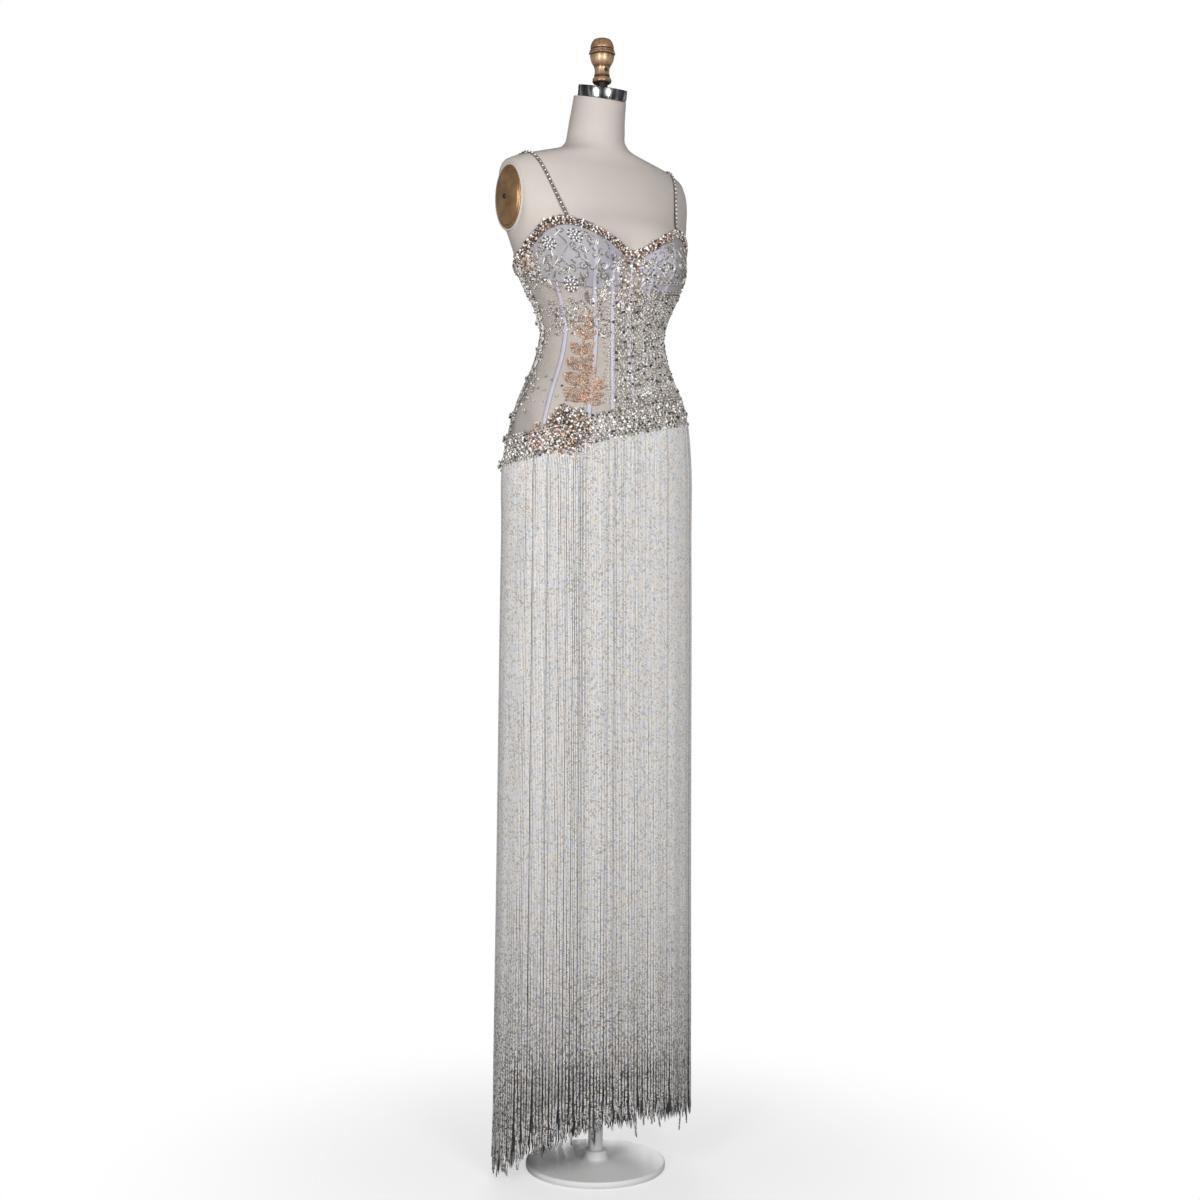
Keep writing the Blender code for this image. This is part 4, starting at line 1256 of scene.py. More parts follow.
def strap_base(word, path):
    """A flat tape along the strap's path."""
    bm = bmesh.new()
    bmesh.ops.create_grid(bm, x_segments=2, y_segments=len(path) - 1, size=0.5)
    for vert in bm.verts:
        point, across = path[round((vert.co.y + 0.5) * (len(path) - 1))][:2]
        vert.co = Vector(point + across * vert.co.x * STRAP_WIDE)
    bmesh.ops.recalc_face_normals(bm, faces=bm.faces[:])
    piece = finished("strap_tape_" + word, bm, "silver_beads", ("strap_" + word,), crease=60)
    shell = piece.modifiers.new("thickness", "SOLIDIFY")
    shell.thickness = 0.0010
    shell.offset = 0.0
    return piece


def belt_ornament():
    """A heaped cluster of stones over the belt, silver and rose gold, with an uneven lobed rim."""
    height = float(belt_low(ORNAMENT_ANGLE)) + BELT_TALL / 2
    silver, rose = Beads(STONE), Beads(STONE)

    def rim(turn):
        lobe = 0.14 * np.exp(-((turn % math.tau - 2.0) / 0.33) ** 2)
        return ORNAMENT_RADIUS * (0.94 + 0.035 * np.cos(5 * turn + 1) + 0.03 * np.cos(9 * turn + 2.2) + lobe)

    def dome(share, turn):
        petals = 0.0014 * np.cos(7 * turn + 0.6) * np.sin(np.clip(share, 0, 1) * math.pi)
        return ORNAMENT_OFF - 0.003 + ORNAMENT_DOME * np.clip(1 - share ** 2.2, 0.16, 1) + petals

    def heap(beads, share, turn, size, lift=0.0, **more):
        reach = share * rim(turn)
        angle, rise = beside(ORNAMENT_ANGLE, height + 0.003, reach * np.cos(turn), reach * np.sin(turn))
        beads.sew(seats(angle, rise, dome(share, turn) + lift), size * uneven(np.size(turn), 0.4), **more)

    def deep(count):
        return np.where(chance.random(count) < 0.45, chance.choice((0.02, 0.09, 0.09), count),
                        chance.choice((0.20, 0.30, 0.50, 0.70, 0.80, 0.95), count))

    def rosy(count):
        return np.where(chance.random(count) < 0.5, chance.choice((0.02, 0.10, 0.16), count),
                        chance.choice((0.30, 0.45, 0.45, 0.70, 0.85), count))

    count = 700
    share = 1.05 * np.sqrt((np.arange(count) + 0.5) / count)
    turn = np.arange(count) * math.pi * (3 - math.sqrt(5)) + 0.08 * chance.normal(size=count)
    ruddy = chance.random(count) < 0.40 + 0.25 * np.cos(3 * turn + 2 + 4 * share)
    heap(silver, share[~ruddy], turn[~ruddy], 0.0037, tilt=0.6, tone=deep((~ruddy).sum()))
    heap(rose, share[ruddy], turn[ruddy], 0.0037, tilt=0.6, tone=rosy(ruddy.sum()))
    for ring_share, count, size in ((0.0, 1, 0.0070), (0.22, 7, 0.0048), (0.45, 12, 0.0046),
                                    (0.66, 17, 0.0048), (0.86, 21, 0.0046)):
        turn = np.arange(count) * math.tau / count + 0.16 * chance.normal(size=count) + ring_share * 5
        heap(silver, ring_share + 0.03 * chance.normal(size=count), turn, size, 0.0010,
             tone=chance.choice((0.09, 0.30, 0.50, 0.95, 0.95), count))
    stray = 80
    angle, rise = beside(ORNAMENT_ANGLE, height, -0.040 - 0.034 * chance.random(stray) ** 1.5,
                         0.022 * chance.uniform(-1, 1, stray))
    rose.sew(seats(angle, rise, BELT_BEAD_OFF + 0.0010), 0.0038 * uneven(stray, 0.4), tone=rosy(stray))
    pieces = [silver.joined("ornament_silver_stones", "silver_beads"),
              rose.joined("ornament_rose_stones", "rose_gold_beads")]

    backing = lathe(((0, 0), (0.86, 0), (0.94, 0.0005), (0.92, 0.0014), (0.7, 0.0022), (0.4, 0.0045),
                     (0, 0.0052)), 64)
    corners = np.array([vert.co for vert in backing.verts])
    turn = np.arctan2(corners[:, 1], corners[:, 0])
    reach = np.hypot(corners[:, 0], corners[:, 1]) * rim(turn)
    angle, rise = beside(ORNAMENT_ANGLE, height + 0.003, reach * np.cos(turn), reach * np.sin(turn))
    for vert, point in zip(backing.verts, on_body(angle, rise, ORNAMENT_OFF - 0.0030 + corners[:, 2])):
        vert.co = point
    bmesh.ops.recalc_face_normals(backing, faces=backing.faces[:])
    pieces.append(finished("ornament_backing", backing, "rose_gold_beads", ("belt_ornament",)))
    tint(pieces[-1], 0.04)
    return pieces


# ---------------------------------------------------------------- embroidery

class Embroidery:
    """Motifs in seed beads, bugles and stones, sewn through the net."""

    def __init__(self):
        self.seeds = Beads(STONE)
        self.gems = Beads(STONE)
        self.bugles = Beads(BUGLE)

    def rosette(self, angle, height, radius):
        """A flower: a bright heart and petals over a close ground of dark and bright stones."""
        self.gems.sew(seats(np.array([angle]), np.array([height]), BEAD_OFF + 0.0026), radius * 0.38,
                      tone=0.95, tilt=0.1)
        for count, reach, wide, long, off, turned, tones in (
                (6, 0.30, 0.20, 0.20, 0.0012, 0.0, (0.02, 0.09)),
                (8, 0.58, 0.27, 0.46, 0.0020, 0.0, (0.95,)),
                (8, 0.62, 0.20, 0.20, 0.0006, 0.39, (0.02,)),
                (16, 1.0, 0.31, 0.31, 0.0004, 0.2, (0.95, 0.02))):
            index = np.arange(count)
            turn = index * math.tau / count + turned
            a, h = beside(angle, height, reach * radius * np.cos(turn), reach * radius * np.sin(turn))
            self.gems.sew(seats(a, h, BEAD_OFF + off), wide * radius, long * radius, turn=turn - math.pi / 2,
                          tone=np.array(tones)[index % len(tones)])

    def vine(self, stations, pitch=0.0025, size=0.0023, **more):
        row_of(self.seeds, smooth_line(stations), pitch, size, BEAD_OFF, 0.0001, 0.2, **more)

    def curl(self, angle, height, heading, size, way=1):
        """A hooked scroll of dark and grey seed beads with a bright row inside its bend; the dark outer row
        is painted shade and the bright inner one a painted highlight of the scroll's relief.
        """
        t = np.linspace(0, 1, 30)
        turn = heading + way * 4.2 * t
        # Outer row dark as painted shade, inner row brighter as a painted highlight.
        for reach, share, tone in ((1.0, 1.0, 0.09), (0.62, 0.7, 0.50)):
            kept = t <= share
            radius = size * reach * (1 - 0.5 * t[kept])
            line = beside(angle, height, radius * np.cos(turn[kept]), radius * np.sin(turn[kept]))
            row_of(self.seeds, line, 0.0024, 0.0022, BEAD_OFF + 0.0001, 0.0001, 0.2, tone=tone)

    def bars(self, angle, height, heading, count, long=0.0105):
        """A few bugles side by side."""
        step = (np.arange(count) - (count - 1) / 2) * 0.0029
        a, h = self.turned_line(angle, height, heading, 0.0012 * chance.normal(size=count), step)
        self.bugles.sew(seats(a, h, BEAD_OFF), 0.0021, long * uneven(count, 0.4), 0.0020,
                        turn=heading - math.pi / 2, tilt=0.05, tone=chance.choice((0.09, 0.50, 0.95), count))

    def leaf(self, angle, height, heading, length, fat=0.42, filled=False, **more):
        """A pointed oval of seed beads about a vein of bugles, or all of seed beads."""
        t = np.linspace(0, 1, 24)
        rows = max(3, round(fat * length / 0.0027)) if filled else 2
        size = 0.0029 if filled else 0.0022
        more.setdefault("tone", lambda count: chance.choice((0.09, 0.20, 0.50), count))
        for share in np.linspace(-1, 1, rows):
            bulge = share * fat * length / 2 * np.sin(math.pi * t) ** 0.8
            row_of(self.seeds, self.turned_line(angle, height, heading, t * length, bulge), size, size,
                   BEAD_OFF + 0.0003 * (filled and chance.random()), 0.0003 * filled, 0.3,
                   start=chance.random(), **more)
        if not filled:
            a, h = self.turned_line(angle, height, heading, t * length, np.zeros(len(t)))
            self.bugle_row((a, h), **more)

    @staticmethod
    def turned_line(angle, height, heading, ahead, aside):
        across = ahead * math.cos(heading) - aside * math.sin(heading)
        up = ahead * math.sin(heading) + aside * math.cos(heading)
        return beside(angle, height, across, up)

    def bugle_row(self, line, long=0.0062, wide=0.0019, gap=0.0004, tone=None):
        angle, height, heading = spaced(*line, long + gap)
        if tone is None:
            tone = chance.choice((0.09, 0.50, 0.70), len(angle))
        self.bugles.sew(seats(angle, height, BEAD_OFF), wide, long, wide, turn=heading - math.pi / 2,
                        tilt=0.08, tone=tone(len(angle)) if callable(tone) else tone)

    def spray(self, stations, leaf_long, pairs, filled=False, spread=0.85, fat=0.42, **more):
        """A stem with leaves on both sides and one at its tip."""
        line = smooth_line(stations)
        row_of(self.seeds, line, 0.0026, 0.0028, BEAD_OFF + 0.0003, 0.0001, **more)
        angle, height, heading = spaced(*line, 0.0005)
        for share in np.linspace(0.06, 0.88, pairs):
            i = int(share * (len(angle) - 1))
            for side in (-1, 1):
                self.leaf(angle[i], height[i], heading[i] + side * spread,
                          leaf_long * (1.1 - 0.62 * share), filled=filled, fat=fat, **more)
        self.leaf(angle[-1], height[-1], heading[-1], leaf_long * 0.6, filled=filled, fat=fat, **more)

    def scatter(self, count, angles, heights, size, tone):
        """Loose stones, thickest in the middle of a stretch of the body."""
        angle = blend(*angles, chance.beta(1.6, 1.6, count))
        height = blend(*heights, chance.beta(1.6, 1.6, count))
        self.gems.sew(seats(angle, height, BEAD_OFF), size * uneven(count, 0.5), tone=tone(count))

    def finish(self, name, slot):
        kinds = (("seed_beads", self.seeds), ("stones", self.gems), ("bugles", self.bugles))
        return [beads.joined(name + "_" + word, slot) for word, beads in kinds if beads.places]


GARLAND_ROWS = 38
SWAG_WIDE = 30        # degrees from bone to bone
SWAG_DEEP = 0.009


def garlands():
    """Level rows of stones in shallow swags between the left front's bones, with a row of seed beads
    under each and a leading row in every five, black stones strewn over and a loose edge."""
    main, seeds = Beads(STONE), Beads(STONE)
    first_bone = -SWAG_WIDE / 2

    def inside(angle, height):
        return (height > belt_high(angle) + 0.003) & (height < underbust(angle) - 0.002)

    for number in range(GARLAND_ROWS):
        angle = np.linspace(first_bone + 3 * (number % 2), SIDE_BACK_SEAM, 200)
        swag = SWAG_DEEP * np.abs(np.sin(math.pi * (angle - first_bone) / SWAG_WIDE))
        height = blend(belt_high(angle), underbust(angle), (number + 1.5) / GARLAND_ROWS) - swag
        leading = number % 5 == 2
        row_of(main, (angle, height), 0.0044, 0.0042 if leading else 0.0037, BEAD_OFF + 0.0005, 0.0003, 0.2,
               chance.random(), keep=inside, tilt=0.5, tone=sparkling if leading else shining)
        row_of(seeds, (angle, height - 0.0026), 0.0032, 0.0026, BEAD_OFF - 0.0002, 0.0004, 0.3,
               chance.random(), keep=inside, tone=0.16 if leading else dusky)
    for count, angles, apart, size, off, tone in (
            (90, (first_bone, SIDE_BACK_SEAM), 0.011, 0.0050, BEAD_OFF + 0.0014, 0.02),
            (60, (first_bone - 4, first_bone), 0.0045, 0.0036, BEAD_OFF + 0.0003, 0.50),
            (34, (first_bone - 8, first_bone - 4), 0.0055, 0.0030, BEAD_OFF, 0.20)):
        angle, height = spread_out(count, angles, (1.302, 1.500), apart)
        kept = inside(angle, height)
        main.sew(seats(angle[kept], height[kept], off), size * uneven(kept.sum(), 0.3), tone=tone)
    return [main.joined("garland_stones", "silver_beads"),
            seeds.joined("garland_seed_beads", "silver_beads")]


BORDER_ANGLE = SIDE_BACK_SEAM - 10.0
BORDER_ENDS = (1.546, 1.370)
BORDER_WINDINGS = 4
TWIG_LEAN = 8         # degrees to either side
TWIG_FOOT = 1.302


def side_border(work, side):
    """A heavy winding border straight down the side, with leaves, twigs and a few large stones on it."""
    t = np.linspace(0, 1, 240)
    angle, height = np.full(len(t), BORDER_ANGLE), blend(*BORDER_ENDS, t)
    twigs = [[(BORDER_ANGLE + lean * share, blend(BORDER_ENDS[1], TWIG_FOOT, share))
              for share in (0, 0.4, 0.7, 1)] for lean in (-TWIG_LEAN, TWIG_LEAN)]
    for phase, reach, tone in ((0.0, 0.0070, sparkling), (math.pi, 0.0070, sparkling),
                               (0.0, 0.0, high_or_low), (1.6, 0.0035, dusky), (4.7, 0.0035, sparkling),
                               (1.0, 0.0095, dusky), (4.1, 0.0095, sparkling),
                               (2.4, 0.0060, high_or_low), (5.5, 0.0060, dusky)):
        wave = reach * (1.15 - 0.8 * t) * np.sin(t * BORDER_WINDINGS * math.tau + phase)
        row_of(work.gems, (side * (angle + wave / rate(angle, height)), height), 0.0042, 0.0039,
               BEAD_OFF + 0.0006, 0.0010, 0.4, chance.random(), tone=tone, tilt=0.5)
    # Twigs, and rows of stones close to the side's outline; all take dark tones, which on the rows along the
    # outline are painted shade.
    for stations in (*twigs,
                     ((101, 1.440), (104, 1.350), (101, 1.300), (99, 1.252)),
                     ((97, 1.420), (101, 1.350), (98, 1.300), (96, 1.252)),
                     ((104, 1.440), (106, 1.350), (104, 1.300), (102, 1.252)),
                     ((106, 1.440), (108, 1.350), (107, 1.300), (105, 1.252)),
                     ((107, 1.430), (110, 1.350), (110, 1.300), (109, 1.252)),
                     ((110, 1.420), (113, 1.350), (113, 1.300), (113, 1.252))):
        line = smooth_line([(side * a, h) for a, h in stations])
        row_of(work.gems, line, 0.0036, 0.0034, BEAD_OFF, 0.0008, 0.4, chance.random(), tilt=0.4,
               tone=lambda count: chance.choice((0.02, 0.09, 0.09, 0.20, 0.20, 0.50), count))
    for at, rise, heading, length in (
            (88, 1.352, 2.3, 0.022), (92, 1.332, 0.9, 0.020), (84, 1.340, 2.1, 0.022),
            (80, 1.322, 1.9, 0.018), (95, 1.316, 1.0, 0.018), (84, 1.312, 2.4, 0.016),
            (98, 1.300, 1.2, 0.016), (86, 1.378, 2.2, 0.020), (83, 1.420, 2.0, 0.020),
            (84, 1.462, 2.2, 0.020), (90, 1.500, 2.0, 0.022), (85, 1.400, 1.7, 0.020)):
        work.leaf(side * at, rise, heading if side < 0 else math.pi - heading, length)
    for at, rise, size in ((116, 1.288, 0.0130), (113, 1.352, 0.0080), (108, 1.402, 0.0080),
                           (109, 1.448, 0.0080), (82, 1.290, 0.0075), (87, 1.384, 0.0070)):
        knot(work.gems, side * at, rise, size)


ROSETTES = (          # angle, height and radius
    (-40, 1.576, 0.0108), (-58, 1.566, 0.0108), (-48, 1.500, 0.0112), (-13, 1.532, 0.0070),
    (66, 1.548, 0.0100), (-128, 1.500, 0.0110), (132, 1.500, 0.0110), (-150, 1.420, 0.0100),
    (152, 1.420, 0.0100),
)
CUP_DEGREE = 0.0021   # metres for a degree round the cups
NET_DEGREE = 0.0023   # metres for a degree round the net


def bodice_embroidery():
    """Flowers, scrolls and leaves over the cups and the net, and a rose-gold spray on the front."""
    silver, rose = Embroidery(), Embroidery()
    for angle, height, radius in ROSETTES:
        silver.rosette(angle, height, radius)
    for stations in (
            ((-70, 1.560), (-64, 1.545), (-60, 1.528), (-66, 1.512), (-74, 1.516)),
            ((-50, 1.582), (-47, 1.560), (-52, 1.540), (-45, 1.524), (-37, 1.530), (-38, 1.545)),
            ((-30, 1.588), (-24, 1.574), (-20, 1.556), (-27, 1.544), (-32, 1.552)),
            ((-34, 1.560), (-27, 1.530), (-22, 1.512), (-15, 1.506)),
            ((-42, 1.545), (-36, 1.520), (-38, 1.496), (-32, 1.480)),
            ((-74, 1.545), (-70, 1.530), (-74, 1.512), (-68, 1.500), (-58, 1.488)),
            ((20, 1.572), (26, 1.560), (30, 1.545), (24, 1.532), (18, 1.538), (20, 1.550)),
            ((50, 1.590), (54, 1.570), (52, 1.548), (58, 1.536), (68, 1.530)),
            ((-44, 1.476), (-36, 1.462), (-30, 1.446), (-34, 1.430), (-42, 1.436)),
            ((-62, 1.470), (-56, 1.456), (-58, 1.440), (-66, 1.436))):
        silver.vine(stations, tone=lambda count: chance.choice((0.09, 0.09, 0.20, 0.50), count))
    flowers = np.array([(angle, height) for angle, height, radius in ROSETTES
                        if abs(angle) < 90 and radius > 0.009])
    for count, angles, heights in ((40, (-76, -11), (1.498, 1.594)), (46, (11, 76), (1.520, 1.594))):
        for kind, apart in ((silver.curl, 0.0105), (silver.bars, 0.0125)):
            angle, height = spread_out(count, angles, heights, apart)
            for at, rise in zip(angle, height):
                clear = np.hypot((flowers[:, 0] - at) * CUP_DEGREE, flowers[:, 1] - rise).min() > 0.015
                if rise > trim_low(at) - 0.007 or not clear:
                    continue
                if kind == silver.curl:
                    kind(at, rise, chance.uniform(0, math.tau), chance.uniform(0.0055, 0.0080),
                         chance.choice((-1, 1)))
                else:
                    kind(at, rise, chance.choice((0.8, 1.2, 1.9, 2.4)), chance.integers(1, 3))
    for angle, height, heading, length in (
            (-66, 1.552, 1.2, 0.024), (-60, 1.530, -0.4, 0.022), (-45, 1.552, 0.5, 0.022),
            (-30, 1.566, 2.2, 0.022), (-29, 1.524, -0.9, 0.026), (26, 1.572, 0.9, 0.022),
            (34, 1.556, -0.3, 0.024), (42, 1.540, 0.6, 0.022), (56, 1.556, 0.9, 0.022),
            (-52, 1.478, -0.8, 0.018), (-34, 1.470, 1.9, 0.020), (-56, 1.516, 0.4, 0.020)):
        silver.leaf(angle, height, heading, length)
    for at, rise, heading, length in (
            (-27, 1.470, 2.5, 0.014), (-26, 1.474, 1.9, 0.022), (-24, 1.480, 1.3, 0.028),
            (-23, 1.474, 0.9, 0.020), (-21, 1.490, 1.1, 0.024)):
        silver.leaf(at, rise, heading, length, fat=0.3,
                    tone=lambda count: chance.choice((0.20, 0.50, 0.95), count))
    silver.spray(((-24, 1.410), (-22, 1.436), (-26, 1.462), (-22, 1.486)), 0.016, 4, tone=sparkling)

    def rosy(count):
        return chance.choice((0.12, 0.12, 0.30, 0.30, 0.45, 0.45, 0.45, 0.70), count)

    def muted(count):
        return chance.choice((0.05, 0.12, 0.12, 0.55, 0.55, 0.70, 0.85, 0.95), count)

    rose.spray(((-33, 1.298), (-38, 1.334), (-41, 1.370), (-41, 1.404), (-38, 1.428)), 0.040, 5, filled=True,
               fat=0.52, spread=0.78, tone=rosy)
    rose.spray(((-32, 1.300), (-28, 1.314), (-25, 1.330)), 0.022, 3, filled=True, fat=0.4, tone=rosy)
    for side in (-1, 1):
        silver.spray(((side * 165, 1.310), (side * 158, 1.350), (side * 163, 1.390), (side * 158, 1.430),
                      (side * 164, 1.470)), 0.020, 7)
        side_border(silver, side)
    for above, start, size in ((-0.001, 8, 0.0036), (0.007, 12, 0.0034), (0.021, 9, 0.0038)):
        row_of(silver.gems, edge_line(lambda angle: underbust(angle) + above, start, 84), 0.0044, size,
               BEAD_OFF + 0.0005, 0.0003, 0.2,
               tone=lambda count: np.where(np.arange(count) % 2, 0.70, 0.09))
        row_of(silver.seeds, edge_line(lambda angle: underbust(angle) + above - 0.0030, start, 84),
               0.0030, 0.0025, BEAD_OFF, 0.0003, 0.2, tone=dusky)
    for work, count, angles, heights, size, tone in (
            (silver, 120, (-14, 14), (1.455, 1.562), 0.0050, sparkling),
            (rose, 80, (-12, 12), (1.475, 1.562), 0.0046, muted),
            (silver, 120, (-18, 24), (1.450, 1.556), 0.0034, dusky),
            (silver, 60, (8, 30), (1.500, 1.560), 0.0042, sparkling),
            (silver, 300, (-80, -24), (1.418, 1.478), 0.0030, sparkling),
            (rose, 56, (-56, -24), (1.420, 1.466), 0.0030, rosy),
            (silver, 80, (-88, -66), (1.498, 1.550), 0.0038, sparkling),
            (rose, 150, (-104, -70), (1.524, 1.564), 0.0040, lambda count: muted(count) * 0.7),
            (silver, 170, (-104, -70), (1.510, 1.562), 0.0040, sparkling)):
        work.scatter(count, angles, heights, size, tone)
    angle, height = spread_out(22, (-92, -46), (1.302, 1.350), 0.016)
    silver.gems.sew(seats(angle, height, BEAD_OFF), 0.0042 * uneven(len(angle), 0.3),
                    tone=sparkling(len(angle)))
    angle, height = spread_out(80, (-178, -114), (1.290, 1.500), 0.014)
    for side in (1, -1):
        silver.gems.sew(seats(side * angle, height, BEAD_OFF), 0.0034 * uneven(len(angle), 0.4),
                        tone=sparkling(len(angle)))
    return silver.finish("silver_work", "silver_beads") + rose.finish("rose_gold_work", "rose_gold_beads")


def spread_out(count, angles, heights, apart):
    """Scattered places that keep their distance from each other and above the belt."""
    kept = []
    for _ in range(count * 30):
        place = (chance.uniform(*angles), chance.uniform(*heights))
        near = any(abs(place[0] - a) * NET_DEGREE < apart and abs(place[1] - h) < apart for a, h in kept)
        if place[1] > belt_high(place[0]) + 0.004 and not near:
            kept.append(place)
        if len(kept) == count:
            break
    return np.array(kept).T


# ---------------------------------------------------------------- the fringe

STRAND_PITCH = 0.0027
STRAND_RADIUS = 0.00118
BEADED_END = 24       # beads at the foot of a strand that are modelled one by one
STRAND_SIDES = 5
BELT_ROWS = (0.200, 0.150, 0.110, 0.080, 0.055, 0.036, 0.021, 0.009, 0.0)   # drops below the belt
LINING_SHADE = UNDERSKIRT_HEM + 0.020
OPEN_PARTS = (-117, 60)   # angles where the outer layer falls open
# Painted shade on strands near the skirt's outlines: DARK_BANDS gives degrees off DARK_BANDS_AT and the depth
# of the darkening, and SOFT_BAND_AT is a softer band.
DARK_BANDS_AT = -117.5
DARK_BANDS = ((4, 6, 9, 11, 14.5, 15.5, 17.0, 18), (0, 0.3, 0.3, 0, 0, 0.25, 0.25, 0))   # degrees off, depth
SOFT_BAND_AT = 57.5
MID_SKIRT = 0.3       # where a degree round the skirt is measured
FREE_END = 0.030      # how much of a strand's foot swings aside


def flute(angle, height):
    share = np.clip(1 - height / BELT_FRONT, 0, 1)
    return FLUTE_DEEP * share * (0.5 + 0.5 * np.cos(np.radians(FLUTES * angle)))


def tube(rows):
    """A closed tube of unit radius, with one ring for each row, about +Z."""
    bm = bmesh.new()
    bmesh.ops.create_grid(bm, x_segments=STRAND_SIDES, y_segments=rows - 1, size=0.5)
    for vert in bm.verts:
        turn = vert.co.x * math.tau
        vert.co = (math.cos(turn), math.sin(turn), round((vert.co.y + 0.5) * (rows - 1)))
    bmesh.ops.remove_doubles(bm, verts=bm.verts[:], dist=1e-4)
    bmesh.ops.triangulate(bm, faces=bm.faces[:])
    bmesh.ops.recalc_face_normals(bm, faces=bm.faces[:])
    bm.verts.ensure_lookup_table()
    corners = np.array([vert.co for vert in bm.verts])
    faces = np.array([[vert.index for vert in face.verts] for face in bm.faces])
    bm.free()
    return corners, faces


def strand_angles(pitch, spread, parts):
    """Angles of strands hung round the belt, unevenly spaced, in pairs that share a loop.

    A third of the pairs is missing near each angle in parts, where the fringe falls open.
    """
    angle = np.linspace(-180, 180, 1441)
    along = np.concatenate(([0.0], np.cumsum(np.linalg.norm(np.diff(skin(angle, 0.6), axis=0), axis=1))))
    count = 2 * round(along[-1] / pitch / 2)
    steps = 1 + spread * (chance.random(count) ** 3 * 2 - 0.5)
    marks = np.cumsum(steps) - steps[0] / 2
    angle = np.interp(marks * along[-1] / steps.sum(), along, angle)
    pair = np.arange(count) // 2
    open_here = np.zeros(count, bool)
    for part in parts:
        open_here |= np.abs(angle[pair * 2] - part) < 8
    return angle[~open_here | (pair % 3 > 0)]


def strands(angle, off, radius, beaded, dim):
    """Corners of all strands at once, and how brightly each ring shows, as painted shade.

    Rows run from the foot up. Beaded feet have a ring for every bead and its gap, and the rows
    are close where the strands leave the belt.
    """
    count = len(angle)
    degree = rate(angle, MID_SKIRT)
    index = np.arange(count)
    pair = index // 2
    towards = np.where(index % 2, -1.0, 1.0)
    bundle = np.cumsum(chance.random(pair.max() + 1) < 0.62)[pair]
    lots = chance.normal(size=(6, pair.max() + 1))
    swings = chance.normal(size=(4, bundle.max() + 1))
    middle = (np.bincount(bundle, angle) / np.maximum(np.bincount(bundle), 1))[bundle]
    couple = (np.bincount(pair, angle) / np.bincount(pair))[pair]
    end = (fringe_hem(angle) + 0.0040 * lots[0, pair] + 0.0080 * swings[0, bundle]
           - 0.018 * (lots[1, pair] > 1.8))
    end = np.maximum(end, 0.004)
    end = (np.round(end / BEAD_PITCH + pair * PHASE) - pair * PHASE) * BEAD_PITCH
    top = belt_low(angle) + 0.004
    foot = (np.arange(2 * beaded + 1) * BEAD_PITCH / 2 + end[:, None] if beaded
            else end[:, None] + np.array((0, 0.015, 0.035)))
    start = foot[:, -1] if beaded else np.full(count, LINING_SHADE)
    share = np.linspace(0, 1, 9)[1:] if beaded else np.linspace(0, 1, 9)
    climb = start[:, None] + share * (top - BELT_ROWS[0] - start)[:, None]
    if not beaded:
        climb = np.concatenate((np.full((count, 1), LINING_SHADE - 0.035), climb), axis=1)
    height = np.concatenate((foot, climb, top[:, None] - np.array(BELT_ROWS[1:])), axis=1)
    rows = height.shape[1]
    corners, faces = tube(rows)
    s = height - end[:, None]
    loop = np.clip(1 - s / 0.0045, 0, 1)
    aside = towards[:, None] * STRAND_PITCH / 2 * (1 - np.sqrt(1 - loop ** 2)) * 0.7
    sag = (towards * 0.0007 * np.abs(lots[2, pair]))[:, None]
    aside -= sag * np.sin(math.pi * np.clip(s / FREE_END, 0, 1))
    calm = np.exp(-s / FREE_END)
    aside += calm * (0.0020 * swings[1, bundle][:, None]
                     + 0.0015 * np.sin(s * 150 + 3 * swings[2, bundle][:, None] + lots[3, pair][:, None]))
    if beaded:
        near = (couple - angle) * degree
        aside += 0.30 * np.clip(1 - s / 0.75, 0, 1) * near[:, None]
        fall = np.exp(-(s / (0.045 + 0.020 * np.abs(swings[2, bundle]))[:, None]) ** 1.5)
        pull = (0.40 + 0.14 * np.clip(swings[3, bundle], -1.5, 1.5))[:, None] * fall
        aside += pull * ((middle - angle) * degree)[:, None]
    aside += 0.00025 * np.sin(height * 21 + 9 * lots[4, pair][:, None])
    outward = off + flute(angle[:, None], height) + calm * 0.0010 * lots[5, pair][:, None]
    where = seats(angle[:, None] + aside / degree[:, None], height, outward)
    thick = np.full((count, rows), radius)
    if beaded:
        thick[:, 1:foot.shape[1]:2] *= 1.10
        thick[:, 0:foot.shape[1]:2] *= 0.55
    thick[:, 0] = thick[:, -1] = 1e-5
    ring = corners[:, 2].astype(int)
    at = where[:, ring]
    spoke = (at[..., 1, :] * corners[:, 0, None] + at[..., 3, :] * corners[:, 1, None])
    points = at[..., 0, :] + spoke * thick[:, ring, None]
    # Each strand gets a random brightness. The rest is painted shade: darker bands near the outlines, the
    # inner layer nearly black below the lining's hem where the skirt's inside lies in shadow, and all strands
    # darker towards the floor. Each strand is also darker at its tip.
    bright = np.where(chance.random(count) < 0.05, 0.74,
                      np.clip(0.99 + 0.03 * chance.normal(size=count), 0.85, 1.05))
    outline_shade = np.interp(np.abs(angle - DARK_BANDS_AT), *DARK_BANDS)
    outline_shade += 0.28 * (chance.random(count) < 0.5) * np.exp(-(np.abs(angle - SOFT_BAND_AT) / 12) ** 2)
    bright *= 1 - outline_shade * chance.uniform(0.5, 1, count)
    hidden = np.clip((LINING_SHADE - height) / 0.03, 0, 1) * (not beaded)
    low = np.clip(1 - height / 0.60, 0, 1)
    shade = bright[:, None] * blend(dim[0] * (1 - dim[2] * low), dim[1], hidden)
    shade *= 1 - 0.65 * np.exp(-s / 0.009)
    return points, faces, shade[:, ring]


